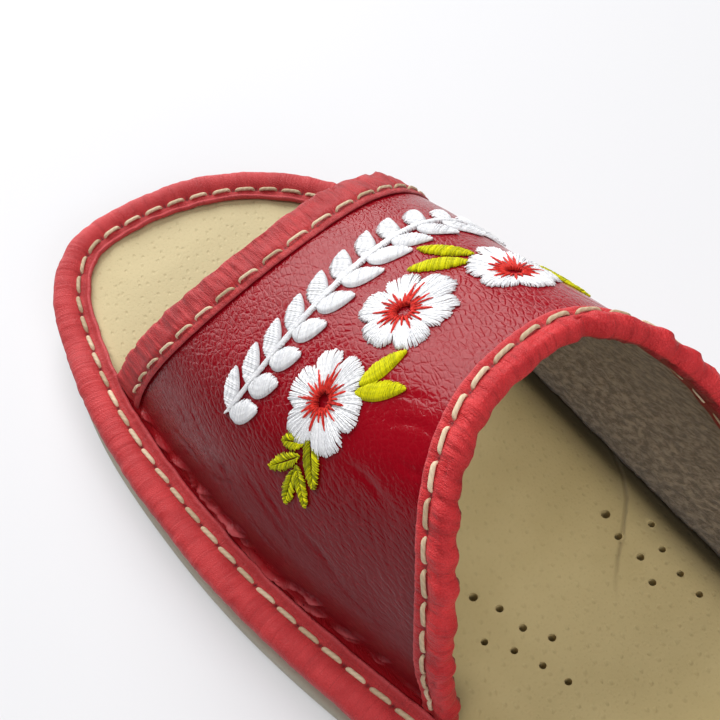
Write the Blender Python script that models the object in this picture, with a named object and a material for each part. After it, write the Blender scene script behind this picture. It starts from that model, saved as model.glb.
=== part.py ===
# Right-foot open-toe leather slipper: a vamp lasted between a padded insole and a leather edge band,
# on a low rubber wedge. The toe points to -Y, the wearer's inner side is +X, the floor is Z = 0.
import math

import bpy
import numpy as np

MM = 0.001

# Sole outline from above, seen as a closed run from the toe tip along the inner side to the heel
OUTLINE = (  # place, x, y in millimetres
    ("toe tip", 6.0, -124.4),
    ("big toe front", 19.4, -123.0),
    ("big toe corner", 31.0, -113.4),
    ("big toe side", 38.0, -98.5),
    ("ball front, inner", 44.4, -76.5),
    ("ball, inner", 47.8, -50.0),
    ("waist front, inner", 48.3, -20.0),
    ("waist, inner", 43.8, 20.0),
    ("heel front, inner", 38.6, 60.0),
    ("heel side, inner", 35.6, 88.0),
    ("heel corner, inner", 30.4, 107.0),
    ("heel back, inner", 18.6, 119.6),
    ("heel end", 2.0, 124.6),
    ("heel back, outer", -14.6, 119.6),
    ("heel corner, outer", -26.4, 107.0),
    ("heel side, outer", -31.8, 88.0),
    ("heel front, outer", -35.6, 60.0),
    ("waist, outer", -40.8, 20.0),
    ("waist front, outer", -45.8, -20.0),
    ("ball, outer", -48.6, -49.5),
    ("ball front, outer", -46.8, -73.5),
    ("little toe side", -40.2, -95.0),
    ("little toe corner", -29.6, -109.4),
    ("second toe", -13.0, -120.0),
)

# Levels: the bed is the insole's top
BED_HEIGHT = 10.8 * MM
TOE_SPRING = 3.0 * MM
SPRING_START = -70.0 * MM
SPRING_LENGTH = 54.0 * MM
HEEL_RISE = 6.0 * MM
RISE_START = 15.0 * MM
RISE_LENGTH = 75.0 * MM
ARCH_HOLLOW = 1.6 * MM
ARCH_START = -8.0 * MM
ARCH_END = 56.0 * MM

GAP = 0.3 * MM
OUTLINE_SAMPLES = 1760
RIM_STEPS = 32
CORNER_CROWDING = 0.55

# Vamp: an arch of leather and lining over the bed
VAMP_WALL = 1.8 * MM
MARGIN_THICKNESS = 1.2 * MM
MARGIN_TIP_INSET = 3.8 * MM
VAMP_BASE_INSET = 9.8 * MM
FRONT_EDGE_Y = {"inner": -82.0 * MM, "crest": -62.0 * MM, "outer": -68.5 * MM}
FRONT_SWEEP = {"inner": 1.4, "outer": 1.4}
THROAT_EDGE_Y = {"inner": 20.5 * MM, "crest": 1.0 * MM, "outer": 46.0 * MM}
THROAT_SWEEP = {"inner": 1.95, "outer": 1.3}
CREST = {  # at the front edge, at the throat edge
    "height": (41.0 * MM, 59.8 * MM),
    "shift": (-7.2 * MM, -2.8 * MM),
    "fullness": (2.0, 2.6),
}
BELLY = 1.6 * MM  # how far the walls swell out between foot and crest
BELLY_HEIGHTS = (5.0 * MM, 24.0 * MM, 44.0 * MM)  # start, fullest, end over the bed
VAMP_FOOT_ANGLE = 0.05
ARCH_STEPS = 32
ARCH_CROWDING = 0.12
VAMP_STATIONS = 12
FRAME_STEP = 0.004

# Edge band: a strip folded round the rim of the insole, lifted where the vamp's margin lies under it
BAND_WIDTH = 9.3 * MM
BAND_THICKNESS = 1.4 * MM
BAND_WALL = 1.2 * MM
BAND_TURN_UNDER = 7.0 * MM
INSOLE_RIM_THICKNESS = 4.0 * MM
LIFT_RAMP = 9.0 * MM
LIFT_LEAD = 7.0 * MM
MARGIN_LIFT = MARGIN_THICKNESS + GAP

# Bindings: strips folded over the vamp's two edges
BINDING_THICKNESS = 0.8 * MM
TOE_BINDING_DEPTH = 9.6 * MM
THROAT_BINDING_DEPTH = 5.2 * MM
BINDING_CLEARANCE = 0.6 * MM
BINDING_STOP_SAMPLES = 400
BINDING_LEAST_STEP = 0.02

BAND_UNDER = INSOLE_RIM_THICKNESS + GAP + BAND_WALL
OUTSOLE_TOP = BAND_UNDER + GAP
BAND_TOP = GAP + BAND_THICKNESS

LEATHER_RED = (0.36, 0.012, 0.018)
BAND_RED = (0.42, 0.022, 0.026)
INSOLE_CREAM = (0.68, 0.60, 0.37)
RUBBER_BEIGE = (0.62, 0.58, 0.50)


def smooth_step(value):
    held = np.clip(value, 0.0, 1.0)
    return held * held * (3.0 - 2.0 * held)


def toe_spring(y):
    reach = np.clip((SPRING_START - y) / SPRING_LENGTH, 0.0, None)
    return TOE_SPRING * reach * reach


def bed_level(y):
    return BED_HEIGHT + toe_spring(y) + HEEL_RISE * smooth_step((y - RISE_START) / RISE_LENGTH)


def ground_level(y):
    along = np.clip((y - ARCH_START) / (ARCH_END - ARCH_START), 0.0, 1.0)
    return toe_spring(y) + ARCH_HOLLOW * np.sin(math.pi * along) ** 2


def closed_spline(points, samples):
    # Cubic curve with even curvature through all the points, back to the first
    count = len(points)
    after = np.roll(points, -1, axis=0)
    before = np.roll(points, 1, axis=0)
    spans = np.sqrt(np.linalg.norm(after - points, axis=1))
    spans_before = np.roll(spans, 1)
    system = np.zeros((count, count))
    for i in range(count):
        system[i, i - 1] = spans_before[i]
        system[i, i] = 2.0 * (spans_before[i] + spans[i])
        system[i, (i + 1) % count] = spans[i]
    slopes = (after - points) / spans[:, None] - (points - before) / spans_before[:, None]
    bends = np.linalg.solve(system, 6.0 * slopes)
    position = np.linspace(0.0, count, samples, endpoint=False)
    row = position.astype(int)
    there = (position - row)[:, None]
    here = 1.0 - there
    stretch = (spans[row] ** 2)[:, None] / 6.0
    ends = here * points[row] + there * after[row]
    curve = (here ** 3 - here) * bends[row] + (there ** 3 - there) * np.roll(bends, -1, axis=0)[row]
    return ends + stretch * curve


def side_samples(run):
    # Points along one side from toe tip to heel end, closer together at both ends
    lengths = np.linalg.norm(np.diff(run, axis=0), axis=1)
    travelled = np.concatenate(([0.0], np.cumsum(lengths)))
    even = np.linspace(0.0, 1.0, RIM_STEPS + 1)
    crowded = 0.5 - 0.5 * np.cos(math.pi * even)
    wanted = travelled[-1] * (even + CORNER_CROWDING * (crowded - even))
    return np.column_stack([np.interp(wanted, travelled, run[:, axis]) for axis in range(2)])


def build_outline():
    # Fine outline for both sides, then the rim's own points: toe, inner side, heel, outer side
    rows = np.array([row[1:] for row in OUTLINE]) * MM
    fine = closed_spline(rows, OUTLINE_SAMPLES)
    fine = np.roll(fine, -int(fine[:, 1].argmin()), axis=0)
    heel = int(fine[:, 1].argmax())
    inner = fine[:heel + 1]
    outer = np.vstack((fine[heel:], fine[:1]))[::-1]
    inner_rim = side_samples(inner)
    outer_rim = side_samples(outer)
    rim = np.vstack((inner_rim, outer_rim[-2:0:-1]))
    return fine, rim


def inward(run):
    # Unit normals pointing into the sole along a closed run that turns anticlockwise
    ahead = np.roll(run, -1, axis=0) - np.roll(run, 1, axis=0)
    ahead /= np.linalg.norm(ahead, axis=1)[:, None]
    return np.column_stack((-ahead[:, 1], ahead[:, 0]))


FINE_OUTLINE, RIM = build_outline()
FINE_INWARD = inward(FINE_OUTLINE)
RIM_INWARD = np.array([FINE_INWARD[np.linalg.norm(FINE_OUTLINE - p, axis=1).argmin()] for p in RIM])


def side_at(inset, y, side):
    # X of the outline drawn in by inset, at y, on the inner or the outer side
    drawn = FINE_OUTLINE + FINE_INWARD * inset
    heel = int(drawn[:, 1].argmax())
    run = drawn[:heel + 1] if side == "inner" else drawn[heel:][::-1]
    order = np.argsort(run[:, 1])
    return np.interp(y, run[order, 1], run[order, 0])


def margin_lift(points):
    # Height that the vamp's margin adds under the edge band
    lift = np.zeros(len(points))
    for side, mask in (("inner", points[:, 0] > 0.0), ("outer", points[:, 0] <= 0.0)):
        y = points[:, 1]
        rising = smooth_step((y - FRONT_EDGE_Y[side] + LIFT_LEAD + LIFT_RAMP) / LIFT_RAMP)
        falling = smooth_step((THROAT_EDGE_Y[side] + LIFT_LEAD + LIFT_RAMP - y) / LIFT_RAMP)
        lift[mask] = (MARGIN_LIFT * rising * falling)[mask]
    return lift


def ring(inset, level, height):
    # The rim drawn in by inset, at a height over the ground, the bed or the lifted band
    flat = RIM + RIM_INWARD * inset
    y = flat[:, 1]
    if level == "ground":
        z = ground_level(y) + height
    else:
        z = bed_level(y) + height
    if level == "flange":
        z = z + margin_lift(RIM)
    return np.column_stack((flat, z))


def strip_faces(first, second, count, closed=True):
    # Quads between two equal runs of points
    last = count if closed else count - 1
    return [(first + i, first + (i + 1) % count, second + (i + 1) % count, second + i) for i in range(last)]


def cap_faces(first, upward):
    # Cross strips that close a ring from the inner side to the outer side
    count = 2 * RIM_STEPS
    faces = []
    for i in range(RIM_STEPS):
        here = (first + i, first + (count - i) % count)
        there = (first + i + 1, first + count - i - 1)
        corners = [here[0], there[0], there[1], here[1]]
        face = list(dict.fromkeys(corners))
        faces.append(tuple(face if upward else face[::-1]))
    return faces


def make_material(name, colour, roughness):
    material = bpy.data.materials.new(name)
    material.use_nodes = True
    shader = material.node_tree.nodes["Principled BSDF"]
    shader.inputs["Base Color"].default_value = (*colour, 1.0)
    shader.inputs["Roughness"].default_value = roughness
    shader.inputs["Metallic"].default_value = 0.0
    return material


def make_object(name, points, faces, material):
    mesh = bpy.data.meshes.new(name)
    mesh.from_pydata([tuple(p) for p in points], [], faces)
    mesh.materials.append(material)
    mesh.validate()
    mesh.shade_smooth()
    mesh.set_sharp_from_angle(angle=math.radians(40.0))
    piece = bpy.data.objects.new(name, mesh)
    bpy.context.scene.collection.objects.link(piece)
    return piece


def rim_plate(name, section, material):
    # A plate: rings from the underside to the top, closed by a cap at each end
    rings = [ring(*row) for row in section]
    count = len(RIM)
    faces = cap_faces(0, upward=False)
    for step in range(len(rings) - 1):
        faces += strip_faces(step * count, (step + 1) * count, count)
    faces += cap_faces((len(rings) - 1) * count, upward=True)
    return make_object(name, np.vstack(rings), faces, material)


def make_outsole():
    section = (  # inset, level, height
        (0.9 * MM, "ground", 0.0),
        (0.3 * MM, "ground", 0.8 * MM),
        (0.2 * MM, "bed", -OUTSOLE_TOP - 0.8 * MM),
        (1.0 * MM, "bed", -OUTSOLE_TOP),
    )
    return rim_plate("outsole", section, make_material("rubber_beige", RUBBER_BEIGE, 0.75))


def make_insole():
    rim_inset = BAND_WALL + GAP
    step_inset = BAND_TURN_UNDER + GAP
    section = (  # inset, level, height
        (step_inset, "bed", -BAND_UNDER),
        (step_inset, "bed", -INSOLE_RIM_THICKNESS),
        (4.35 * MM, "bed", -INSOLE_RIM_THICKNESS),
        (3.0 * MM, "bed", -3.25 * MM),
        (1.95 * MM, "bed", -2.0 * MM),
        (rim_inset, "bed", -0.8 * MM),
        (rim_inset + 0.8 * MM, "bed", 0.0),
    )
    return rim_plate("insole", section, make_material("insole_cream", INSOLE_CREAM, 0.7))


def make_edge_band():
    inside_bottom = -INSOLE_RIM_THICKNESS - GAP
    section = (  # inset, level, height
        (BAND_TURN_UNDER, "bed", inside_bottom),
        (BAND_TURN_UNDER, "bed", -BAND_UNDER),
        (3.8 * MM, "bed", -BAND_UNDER),
        (1.7 * MM, "bed", -4.3 * MM),
        (0.4 * MM, "bed", -2.6 * MM),
        (0.0, "flange", -0.2 * MM),
        (0.5 * MM, "flange", BAND_TOP - 0.6 * MM),
        (1.8 * MM, "flange", BAND_TOP),
        (BAND_WIDTH - 0.8 * MM, "flange", BAND_TOP),
        (BAND_WIDTH, "flange", BAND_TOP - 0.6 * MM),
        (BAND_WIDTH, "flange", GAP),
        (BAND_WALL, "flange", GAP),
        (BAND_WALL, "bed", -1.0 * MM),
        (1.6 * MM, "bed", -2.2 * MM),
        (2.7 * MM, "bed", -3.55 * MM),
        (4.2 * MM, "bed", inside_bottom),
    )
    rings = [ring(*row) for row in section]
    count = len(RIM)
    faces = []
    for step in range(len(rings)):
        faces += strip_faces(step * count, (step + 1) % len(rings) * count, count)
    return make_object("edge_band", np.vstack(rings), faces, make_material("band_red", BAND_RED, 0.55))


def edge_line(edge, sweep, angle):
    # Y of the vamp's front or throat edge, from its inner foot over the crest to its outer foot
    inner_side = angle < math.pi / 2.0
    foot = np.where(inner_side, edge["inner"], edge["outer"])
    power = np.where(inner_side, sweep["inner"], sweep["outer"])
    return foot + (edge["crest"] - foot) * np.abs(np.sin(angle)) ** power


def vamp_y(along, angle):
    # Along runs from the front edge to the throat edge, angle from the inner to the outer foot
    front = edge_line(FRONT_EDGE_Y, FRONT_SWEEP, angle)
    throat = edge_line(THROAT_EDGE_Y, THROAT_SWEEP, angle)
    return front * (1.0 - along) + throat * along


def vamp_surface(along, angle):
    # Outer face of the vamp
    y = vamp_y(along, angle)
    inner_x = side_at(VAMP_BASE_INSET, y, "inner")
    outer_x = side_at(VAMP_BASE_INSET, y, "outer")
    half = (inner_x - outer_x) / 2.0
    crest_along = (y - FRONT_EDGE_Y["crest"]) / (THROAT_EDGE_Y["crest"] - FRONT_EDGE_Y["crest"])
    size = {key: front + (throat - front) * crest_along for key, (front, throat) in CREST.items()}
    power = 2.0 / size["fullness"]
    across = np.sign(np.cos(angle)) * np.abs(np.cos(angle)) ** power
    rise = np.abs(np.sin(angle)) ** power
    height = size["height"] * rise
    start, fullest, end = BELLY_HEIGHTS
    swell = smooth_step((height - start) / (fullest - start)) * smooth_step((end - height) / (end - fullest))
    x = (inner_x + outer_x) / 2.0 + half * across + size["shift"] * np.sin(angle) ** 2
    x = x + BELLY * swell * np.sign(np.cos(angle))
    return np.stack((x, y, bed_level(y) + height), axis=-1)


def vamp_growth(along, angle):
    # Change of the outer face's points per unit along
    ahead = vamp_surface(along + FRAME_STEP, angle)
    behind = vamp_surface(along - FRAME_STEP, angle)
    return (ahead - behind) / (2.0 * FRAME_STEP)


def vamp_frame(along, angle):
    # Point on the outer face, and the outward normal
    around = vamp_surface(along, angle + FRAME_STEP) - vamp_surface(along, angle - FRAME_STEP)
    normal = np.cross(vamp_growth(along, angle), around)
    normal /= np.linalg.norm(normal, axis=-1)[..., None]
    return vamp_surface(along, angle), normal


def arch_angles():
    # Angles from foot to foot, closer together low on the sides where the section turns most
    even = np.linspace(-1.0, 1.0, ARCH_STEPS + 1)
    spread = even + ARCH_CROWDING * np.sin(2.0 * math.pi * even) / math.pi
    return math.pi / 2.0 + spread * (math.pi / 2.0 - VAMP_FOOT_ANGLE)


def margin_points(along, side, bottom):
    # Corner under the wall and tip of the lasting margin on one side, on its top or underside
    angle = np.array(0.0 if side == "inner" else math.pi)
    y = float(vamp_y(along, angle))
    corner_inset = VAMP_BASE_INSET + (VAMP_WALL if bottom else 0.0)
    height = GAP if bottom else GAP + MARGIN_THICKNESS
    rows = []
    for inset in (corner_inset, MARGIN_TIP_INSET):
        rows.append((float(side_at(inset, y, side)), y, float(bed_level(y)) + height))
    return rows


def vamp_section(along):
    # Closed section: over the outer face from inner margin to outer margin, back along the inner face
    angles = arch_angles()
    point, normal = vamp_frame(np.full(len(angles), along), angles)
    lining = point - normal * VAMP_WALL
    inner_top = margin_points(along, "inner", bottom=False)
    outer_top = margin_points(along, "outer", bottom=False)
    inner_under = margin_points(along, "inner", bottom=True)
    outer_under = margin_points(along, "outer", bottom=True)
    over = inner_top[::-1] + [tuple(p) for p in point] + outer_top
    back = outer_under[::-1] + [tuple(p) for p in lining[::-1]] + inner_under
    return over + back


def make_vamp():
    sections = [vamp_section(along) for along in np.linspace(0.0, 1.0, VAMP_STATIONS + 1)]
    count = len(sections[0])
    half = count // 2
    faces = []
    for station in range(VAMP_STATIONS):
        faces += strip_faces((station + 1) * count, station * count, count)
    last = VAMP_STATIONS * count
    for i in range(half - 1):
        across = (i, i + 1, count - 2 - i, count - 1 - i)
        faces.append(across)
        faces.append(tuple(last + corner for corner in across[::-1]))
    points = np.vstack([np.array(section) for section in sections])
    return make_object("vamp", points, faces, make_material("vamp_red", LEATHER_RED, 0.35))


def binding_angles(edge_along):
    # The vamp's own angles, stopped just over the edge band on both sides
    angles = arch_angles()
    fine = np.linspace(VAMP_FOOT_ANGLE, math.pi / 2.0, BINDING_STOP_SAMPLES)
    floor = MARGIN_LIFT + BAND_TOP + BINDING_CLEARANCE
    stops = []
    for run in (fine, math.pi - fine):
        point = vamp_surface(np.full(len(run), edge_along), run)
        height = point[:, 2] - bed_level(point[:, 1])
        stops.append(float(run[np.argmax(height > floor)]))
    between = angles[(angles > stops[0] + BINDING_LEAST_STEP) & (angles < stops[1] - BINDING_LEAST_STEP)]
    return np.concatenate(([stops[0]], between, [stops[1]]))


def end_caps(loop, last):
    # Quads that close the folded strip's two ends, leaf by leaf and round the bight
    pairs = ((0, 1, 2, 10), (10, 2, 3, 4), (9, 10, 4, 5), (9, 5, 6, 6), (9, 6, 7, 8))
    faces = []
    for quad in pairs:
        corners = list(dict.fromkeys(quad))
        faces.append(tuple(loop[corner] for corner in corners))
        faces.append(tuple(loop[corner] + last for corner in corners[::-1]))
    return faces


def make_binding(name, edge_along, into, depth):
    # A folded strip: outer leaf, bight round the vamp's edge, inner leaf
    outer_near = GAP
    outer_far = GAP + BINDING_THICKNESS
    inner_near = -VAMP_WALL - GAP
    inner_far = inner_near - BINDING_THICKNESS
    middle = -VAMP_WALL / 2.0
    section = (  # distance back from the vamp's edge, height over its outer face
        (depth, outer_near),
        (depth, outer_far),
        (0.6 * MM, outer_far),
        (-0.8 * MM, outer_far - 0.7 * MM),
        (-GAP - BINDING_THICKNESS, middle),
        (-0.8 * MM, inner_far + 0.7 * MM),
        (0.6 * MM, inner_far),
        (depth, inner_far),
        (depth, inner_near),
        (-GAP, inner_near),
        (-GAP, outer_near),
    )
    angles = binding_angles(edge_along)
    unit_length = np.linalg.norm(vamp_growth(np.full(len(angles), edge_along), angles), axis=1)
    runs = []
    for back, height in section:
        shifted = edge_along + into * back / unit_length
        base, normal = vamp_frame(shifted, angles)
        runs.append(base + normal * height)
    count = len(angles)
    faces = []
    for step in range(len(runs)):
        faces += strip_faces(step * count, (step + 1) % len(runs) * count, count, closed=False)
    first_end = tuple(step * count for step in range(len(runs)))
    faces += end_caps(first_end, count - 1)
    if into < 0.0:
        faces = [face[::-1] for face in faces]
    return make_object(name, np.vstack(runs), faces, make_material(name + "_red", BAND_RED, 0.6))


def main():
    for existing in list(bpy.data.objects):
        bpy.data.objects.remove(existing, do_unlink=True)
    make_outsole()
    make_insole()
    make_edge_band()
    make_vamp()
    make_binding("toe_binding", 0.0, 1.0, TOE_BINDING_DEPTH)
    make_binding("throat_binding", 1.0, -1.0, THROAT_BINDING_DEPTH)


main()
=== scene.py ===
import math

import bpy
import numpy as np
from mathutils import Matrix, Vector


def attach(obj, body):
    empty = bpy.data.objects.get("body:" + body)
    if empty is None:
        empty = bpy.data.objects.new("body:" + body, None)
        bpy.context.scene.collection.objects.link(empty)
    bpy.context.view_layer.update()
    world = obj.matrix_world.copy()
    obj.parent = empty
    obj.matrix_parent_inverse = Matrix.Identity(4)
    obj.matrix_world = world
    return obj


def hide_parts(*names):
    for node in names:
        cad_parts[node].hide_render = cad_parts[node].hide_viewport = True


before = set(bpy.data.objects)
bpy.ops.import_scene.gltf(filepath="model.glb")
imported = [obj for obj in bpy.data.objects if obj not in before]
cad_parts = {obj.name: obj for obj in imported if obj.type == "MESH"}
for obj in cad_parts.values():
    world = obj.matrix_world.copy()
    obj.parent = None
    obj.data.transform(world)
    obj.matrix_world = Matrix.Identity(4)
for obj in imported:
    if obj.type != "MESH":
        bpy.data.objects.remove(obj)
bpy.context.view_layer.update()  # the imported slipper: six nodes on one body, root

mm = 0.001  # shapes are worked out in millimetres and placed in metres
weldGap = 0.002  # millimetres, points closer than this become one

# Last and sole: toe towards -Y, the wearer's inner side towards +X, floor at zero
last = {
    "outline": (  # toe tip, along the inner side to the heel, back along the outer side
        (6.0, -124.4), (19.4, -123.0), (31.0, -113.4), (38.0, -98.5), (44.4, -76.5), (47.8, -50.0),
        (48.3, -20.0), (43.8, 20.0), (38.6, 60.0), (35.6, 88.0), (30.4, 107.0), (18.6, 119.6),
        (2.0, 124.6), (-14.6, 119.6), (-26.4, 107.0), (-31.8, 88.0), (-35.6, 60.0), (-40.8, 20.0),
        (-45.8, -20.0), (-48.6, -49.5), (-46.8, -73.5), (-40.2, -95.0), (-29.6, -109.4), (-13.0, -120.0),
    ),
    "bedHeight": 10.8, "toeSpring": 3.0, "springStart": -70.0, "springLength": 54.0,
    "heelRise": 6.0, "riseStart": 15.0, "riseLength": 75.0,
    "archHollow": 1.6, "archStart": -8.0, "archLength": 64.0,
    "samples": 2400, "crowding": 0.85,  # points round the outline, how much closer at toe and heel
}

# Vamp: an arch over the bed, from its front edge to its throat edge
upper = {
    "baseInset": 9.8,
    "front": {"inner": -82.0, "crest": -62.0, "outer": -68.5, "sweep": (1.4, 1.4)},
    "throat": {"inner": 20.5, "crest": 1.0, "outer": 46.0, "sweep": (1.95, 1.3)},
    "height": (41.0, 59.8), "shift": (-7.2, -2.8), "fullness": (2.0, 2.6),  # front, throat
    "belly": 1.6, "bellyHeights": (5.0, 24.0, 44.0),
    "marginLift": 1.5, "liftLead": 7.0, "liftRamp": 9.0,
}


def smoothStep(value):
    held = np.clip(value, 0.0, 1.0)
    return held * held * (3.0 - 2.0 * held)


def ramp(value, low, high):  # 0 at low, 1 at high, smooth
    return smoothStep((value - low) / (high - low))


def hump(value, centre, width):  # 1 at the centre, fading on both sides
    return math.exp(-((value - centre) / width) ** 2)


def softNoise(x, y, cell, seed):  # smooth random height between -1 and 1
    size = 128
    table = np.random.default_rng(seed).uniform(-1.0, 1.0, (size, size))
    column = np.floor(x / cell).astype(int)
    row = np.floor(y / cell).astype(int)
    across = smoothStep(x / cell - column)
    down = smoothStep(y / cell - row)

    def mixed(line):
        left = table[column % size, line % size]
        return left * (1.0 - across) + table[(column + 1) % size, line % size] * across

    return mixed(row) * (1.0 - down) + mixed(row + 1) * down


def unevenness(x, y, rows):  # soft lumps, each row a height, a cell size and a seed
    return sum(height * softNoise(x, y, cell, seed) for height, cell, seed in rows)


def toeSpring(y):
    reach = np.clip((last["springStart"] - y) / last["springLength"], 0.0, None)
    return last["toeSpring"] * reach * reach


def bedLevel(y):  # top of the insole
    rise = smoothStep((y - last["riseStart"]) / last["riseLength"])
    return last["bedHeight"] + toeSpring(y) + last["heelRise"] * rise


def groundLevel(y):  # underside of the outsole
    along = np.clip((y - last["archStart"]) / last["archLength"], 0.0, 1.0)
    return toeSpring(y) + last["archHollow"] * np.sin(math.pi * along) ** 2


def closedSpline(points, samples):  # even cubic curve through all the points and back
    count = len(points)
    after = np.roll(points, -1, axis=0)
    before = np.roll(points, 1, axis=0)
    spans = np.sqrt(np.linalg.norm(after - points, axis=1))
    spansBefore = np.roll(spans, 1)
    system = np.zeros((count, count))
    for i in range(count):
        system[i, i - 1] = spansBefore[i]
        system[i, i] = 2.0 * (spansBefore[i] + spans[i])
        system[i, (i + 1) % count] = spans[i]
    slopes = (after - points) / spans[:, None] - (points - before) / spansBefore[:, None]
    bends = np.linalg.solve(system, 6.0 * slopes)
    position = np.linspace(0.0, count, samples, endpoint=False)
    row = position.astype(int)
    there = (position - row)[:, None]
    here = 1.0 - there
    stretch = (spans[row] ** 2)[:, None] / 6.0
    curve = (here ** 3 - here) * bends[row] + (there ** 3 - there) * np.roll(bends, -1, axis=0)[row]
    return here * points[row] + there * after[row] + stretch * curve


def unit(vectors):
    return vectors / np.linalg.norm(vectors, axis=-1)[..., None]


def lengthAlong(run):
    steps = np.linalg.norm(np.diff(run, axis=0), axis=-1)
    return np.concatenate(([0.0], np.cumsum(steps)))


def lookUp(wanted, travel, table):  # all columns of a table at lengths along its run
    return np.column_stack([np.interp(wanted, travel, column) for column in table.T])


def closedRun(run):
    return np.vstack((run, run[:1]))


rim = closedSpline(np.array(last["outline"]), last["samples"])
rim = np.roll(rim, -int(rim[:, 1].argmin()), axis=0)
rimAhead = unit(np.roll(rim, -1, axis=0) - np.roll(rim, 1, axis=0))
rimInward = np.column_stack((-rimAhead[:, 1], rimAhead[:, 0]))
rimTable = np.column_stack((rim, rimInward))  # points of the outline and their ways into the sole
heelIndex = int(rim[:, 1].argmax())


def sideAt(inset, y, side):  # X of the outline drawn in by inset, on one side
    drawn = rim + rimInward * inset
    half = drawn[:heelIndex + 1] if side == "inner" else drawn[heelIndex:][::-1]
    order = np.argsort(half[:, 1])
    return np.interp(y, half[order, 1], half[order, 0])


def rimPoints(count, inset):  # outline points, inward ways and lengths along a drawn-in run
    travel = lengthAlong(closedRun(rim + rimInward * inset))
    wanted = np.linspace(0.0, travel[-1], count)
    found = lookUp(wanted, travel, closedRun(rimTable))
    return found[:, :2], unit(found[:, 2:]), wanted


def marginLift(points):  # what the vamp's tucked margin adds under the edge band
    y = points[:, 1]
    lift = np.zeros(len(points))
    for side, mask in (("inner", points[:, 0] > 0.0), ("outer", points[:, 0] <= 0.0)):
        start = upper["front"][side] - upper["liftLead"] - upper["liftRamp"]
        end = upper["throat"][side] + upper["liftLead"] + upper["liftRamp"]
        rising = smoothStep((y - start) / upper["liftRamp"])
        falling = smoothStep((end - y) / upper["liftRamp"])
        lift[mask] = (upper["marginLift"] * rising * falling)[mask]
    return lift


def edgeLine(edge, angle):  # Y of the vamp's front or throat edge
    innerSide = angle < math.pi / 2.0
    foot = np.where(innerSide, edge["inner"], edge["outer"])
    power = np.where(innerSide, *edge["sweep"])
    return foot + (edge["crest"] - foot) * np.abs(np.sin(angle)) ** power


def vampSurface(along, angle):  # along 0 front to 1 throat, angle 0 inner to pi outer foot
    y = edgeLine(upper["front"], angle) * (1.0 - along) + edgeLine(upper["throat"], angle) * along
    innerX = sideAt(upper["baseInset"], y, "inner")
    outerX = sideAt(upper["baseInset"], y, "outer")
    half = (innerX - outerX) / 2.0
    crestAlong = (y - upper["front"]["crest"]) / (upper["throat"]["crest"] - upper["front"]["crest"])
    size = {key: upper[key][0] + (upper[key][1] - upper[key][0]) * crestAlong
            for key in ("height", "shift", "fullness")}
    power = 2.0 / size["fullness"]
    across = np.sign(np.cos(angle)) * np.abs(np.cos(angle)) ** power
    rise = np.abs(np.sin(angle)) ** power
    height = size["height"] * rise
    start, fullest, end = upper["bellyHeights"]
    swell = ramp(height, start, fullest) * smoothStep((end - height) / (end - fullest))
    x = (innerX + outerX) / 2.0 + half * across + size["shift"] * np.sin(angle) ** 2
    x = x + upper["belly"] * swell * np.sign(np.cos(angle))
    return np.stack((x, y, bedLevel(y) + height), axis=-1)


def vampFrame(along, angle):  # point, growth per unit along, per radian, outward normal
    tiny = 0.004
    lengthwise = (vampSurface(along + tiny, angle) - vampSurface(along - tiny, angle)) / (2.0 * tiny)
    around = (vampSurface(along, angle + tiny) - vampSurface(along, angle - tiny)) / (2.0 * tiny)
    return vampSurface(along, angle), lengthwise, around, unit(np.cross(lengthwise, around))


# Making meshes

def pick(*pieces):  # selects these alone, the first one active
    bpy.ops.object.select_all(action="DESELECT")
    for piece in pieces:
        piece.select_set(True)
    if pieces:
        bpy.context.view_layer.objects.active = pieces[0]


def readOut(vertices, key):  # places or normals of all the vertices
    values = np.empty(len(vertices) * 3)
    vertices.foreach_get(key, values)
    return values.reshape(-1, 3)


def setMark(mesh, name, values):  # a number on every point, for the finish to read
    mark = mesh.attributes.new(name, "FLOAT", "POINT")
    mark.data.foreach_set("value", values)


def shapedGrid(name, points, uv, **marks):  # a grid primitive with its vertices moved into place
    rows, columns = points.shape[:2]
    pick()
    bpy.ops.mesh.primitive_grid_add(x_subdivisions=columns - 1, y_subdivisions=rows - 1, size=1.0)
    piece = bpy.context.object
    piece.name = name
    mesh = piece.data
    mesh.name = name
    start = readOut(mesh.vertices, "co") + 0.5
    column = np.rint(start[:, 0] * (columns - 1)).astype(int)
    row = np.rint(start[:, 1] * (rows - 1)).astype(int)
    mesh.vertices.foreach_set("co", (points[row, column] * mm).ravel())
    corner = np.empty(len(mesh.loops), dtype=int)
    mesh.loops.foreach_get("vertex_index", corner)
    mesh.uv_layers[0].data.foreach_set("uv", uv[row, column][corner].ravel())
    for key, values in marks.items():
        setMark(mesh, key, values[row, column])
    mesh.update()
    bpy.ops.object.mode_set(mode="EDIT")
    bpy.ops.mesh.select_all(action="SELECT")
    bpy.ops.mesh.remove_doubles(threshold=weldGap * mm)
    bpy.ops.mesh.normals_make_consistent(inside=False)
    bpy.ops.object.mode_set(mode="OBJECT")
    topFace = max(mesh.polygons, key=lambda face: face.center.z)
    if topFace.normal.z < 0.0:
        mesh.flip_normals()
    bpy.ops.object.shade_smooth()
    return piece


def thicken(piece, thickness):  # a wall on the side away from the face
    wall = piece.modifiers.new("wall", "SOLIDIFY")
    wall.thickness = thickness * mm
    wall.offset = -1.0
    bpy.ops.object.modifier_apply(modifier=wall.name)


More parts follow.
